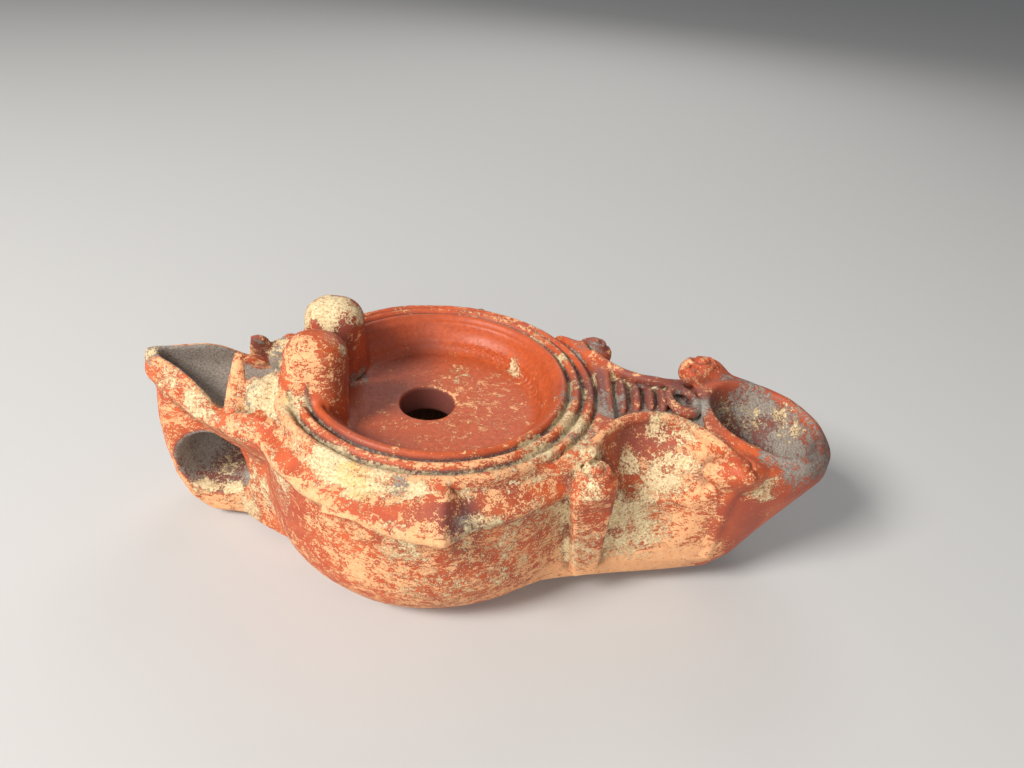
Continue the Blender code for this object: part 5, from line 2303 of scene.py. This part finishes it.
@dataclass(frozen=True)
class View:
    """The photograph's camera, as fitted to the rings of the lamp.

    Args:
        picture: width and height of the picture in pixels.
        focal_pixels: focal length in pixels of that picture.
        distance: from the camera to the centre of the rings.
        elevation, azimuth, roll: turns of the camera in degrees.
        centre: pixel at which the centre of the rings shows.
        target: the centre of the rings on the lamp.
    """

    picture: tuple[int, int] = (1024, 768)
    focal_pixels: float = 740.0
    distance: float = 185.03
    elevation: float = 33.249
    azimuth: float = -0.271
    roll: float = 5.643
    centre: tuple[float, float] = (438.85, 375.61)
    target: Point = (0.0, 0.0, 46.0)

    def place(self) -> None:
        """Make the camera and make it the scene's own."""
        lift, turn, roll = (math.radians(a) for a in (self.elevation, self.azimuth, self.roll))
        back = Vector((math.sin(turn) * math.cos(lift), -math.cos(turn) * math.cos(lift), math.sin(lift)))
        right = Vector((math.cos(turn), math.sin(turn), 0.0))
        up = back.cross(right)
        across = right * math.cos(roll) + up * math.sin(roll)
        above = up * math.cos(roll) - right * math.sin(roll)
        aside = (self.centre[0] - self.picture[0] / 2) / self.focal_pixels
        above_axis = (self.picture[1] / 2 - self.centre[1]) / self.focal_pixels
        ray = Vector((aside, above_axis, -1.0)).normalized() * self.distance
        place = Vector(self.target) - (across * ray.x + above * ray.y + back * ray.z)
        data = bpy.data.cameras.new("camera")
        data.sensor_width = 36.0
        data.lens = self.focal_pixels / self.picture[0] * data.sensor_width
        data.clip_start = 0.01
        camera = bpy.data.objects.new("camera", data)
        turned = Matrix((across, above, back)).transposed().to_4x4()
        camera.matrix_world = Matrix.Translation(place * MM) @ turned
        bpy.context.scene.collection.objects.link(camera)
        bpy.context.scene.camera = camera


@dataclass(frozen=True)
class Lantern:
    """A soft square light that faces the lamp."""

    name: str
    place: Point
    size: float
    power: float
    colour: Point
    aim: Point = (0.01, 0.0, 0.03)

    def hang(self) -> None:
        """Hang the light."""
        data = bpy.data.lights.new(self.name, "AREA")
        data.size = self.size
        data.energy = self.power
        data.color = self.colour
        lamp = bpy.data.objects.new(self.name, data)
        lamp.location = self.place
        way = Vector(self.place) - Vector(self.aim)
        lamp.rotation_euler = way.to_track_quat("Z", "Y").to_euler()
        bpy.context.scene.collection.objects.link(lamp)


@dataclass(frozen=True)
class Studio:
    """Pale floor, soft lights and the surrounding glow."""

    floor_colour: Colour = (0.54, 0.535, 0.525, 1.0)
    floor_reach: float = 3.0
    glow: float = 0.22
    glow_colour: Colour = (0.94, 0.96, 1.0, 1.0)
    lanterns: tuple[Lantern, ...] = (
        Lantern("key_light", (-0.60, -0.50, 0.72), 0.30, 14.0, (1.0, 0.97, 0.93)),
        Lantern("fill_light", (0.10, -0.85, 0.40), 0.6, 3.4, (1.0, 0.98, 0.95)),
        Lantern("back_light", (0.10, 0.75, 0.6), 0.5, 2.0, (1.0, 0.98, 0.96)),
    )

    def set_up(self) -> None:
        """Lay the floor, hang the lights and set the glow."""
        reach = self.floor_reach
        mesh = bpy.data.meshes.new("floor")
        corners = [(-reach, -reach, 0.0), (reach, -reach, 0.0), (reach, reach, 0.0), (-reach, reach, 0.0)]
        mesh.from_pydata(corners, [], [(0, 1, 2, 3)])
        floor = bpy.data.objects.new("floor", mesh)
        paper = bpy.data.materials.new("pale_paper")
        paper.use_nodes = True
        shader = paper.node_tree.nodes["Principled BSDF"]
        shader.inputs["Base Color"].default_value = self.floor_colour
        shader.inputs["Roughness"].default_value = 0.9
        mesh.materials.append(paper)
        bpy.context.scene.collection.objects.link(floor)
        for lantern in self.lanterns:
            lantern.hang()
        world = bpy.data.worlds.new("glow")
        world.use_nodes = True
        background = world.node_tree.nodes["Background"]
        background.inputs["Color"].default_value = self.glow_colour
        background.inputs["Strength"].default_value = self.glow
        bpy.context.scene.world = world
        bpy.context.scene.view_settings.view_transform = "Standard"


def main() -> None:
    """Build the lamp and its studio around the frame, and report each piece."""
    logging.basicConfig(level=logging.INFO, format="%(name)s: %(message)s")
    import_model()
    View().place()
    Studio().set_up()
    effects = Effects()
    step = FINE_STEP
    piece = Lamp(step=step).build(effects)
    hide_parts("lamp")
    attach(piece, "root")
    LOG.info("%s: %d triangles", piece.name, sum(len(p.vertices) - 2 for p in piece.data.polygons))


if __name__ == "__main__":
    main()
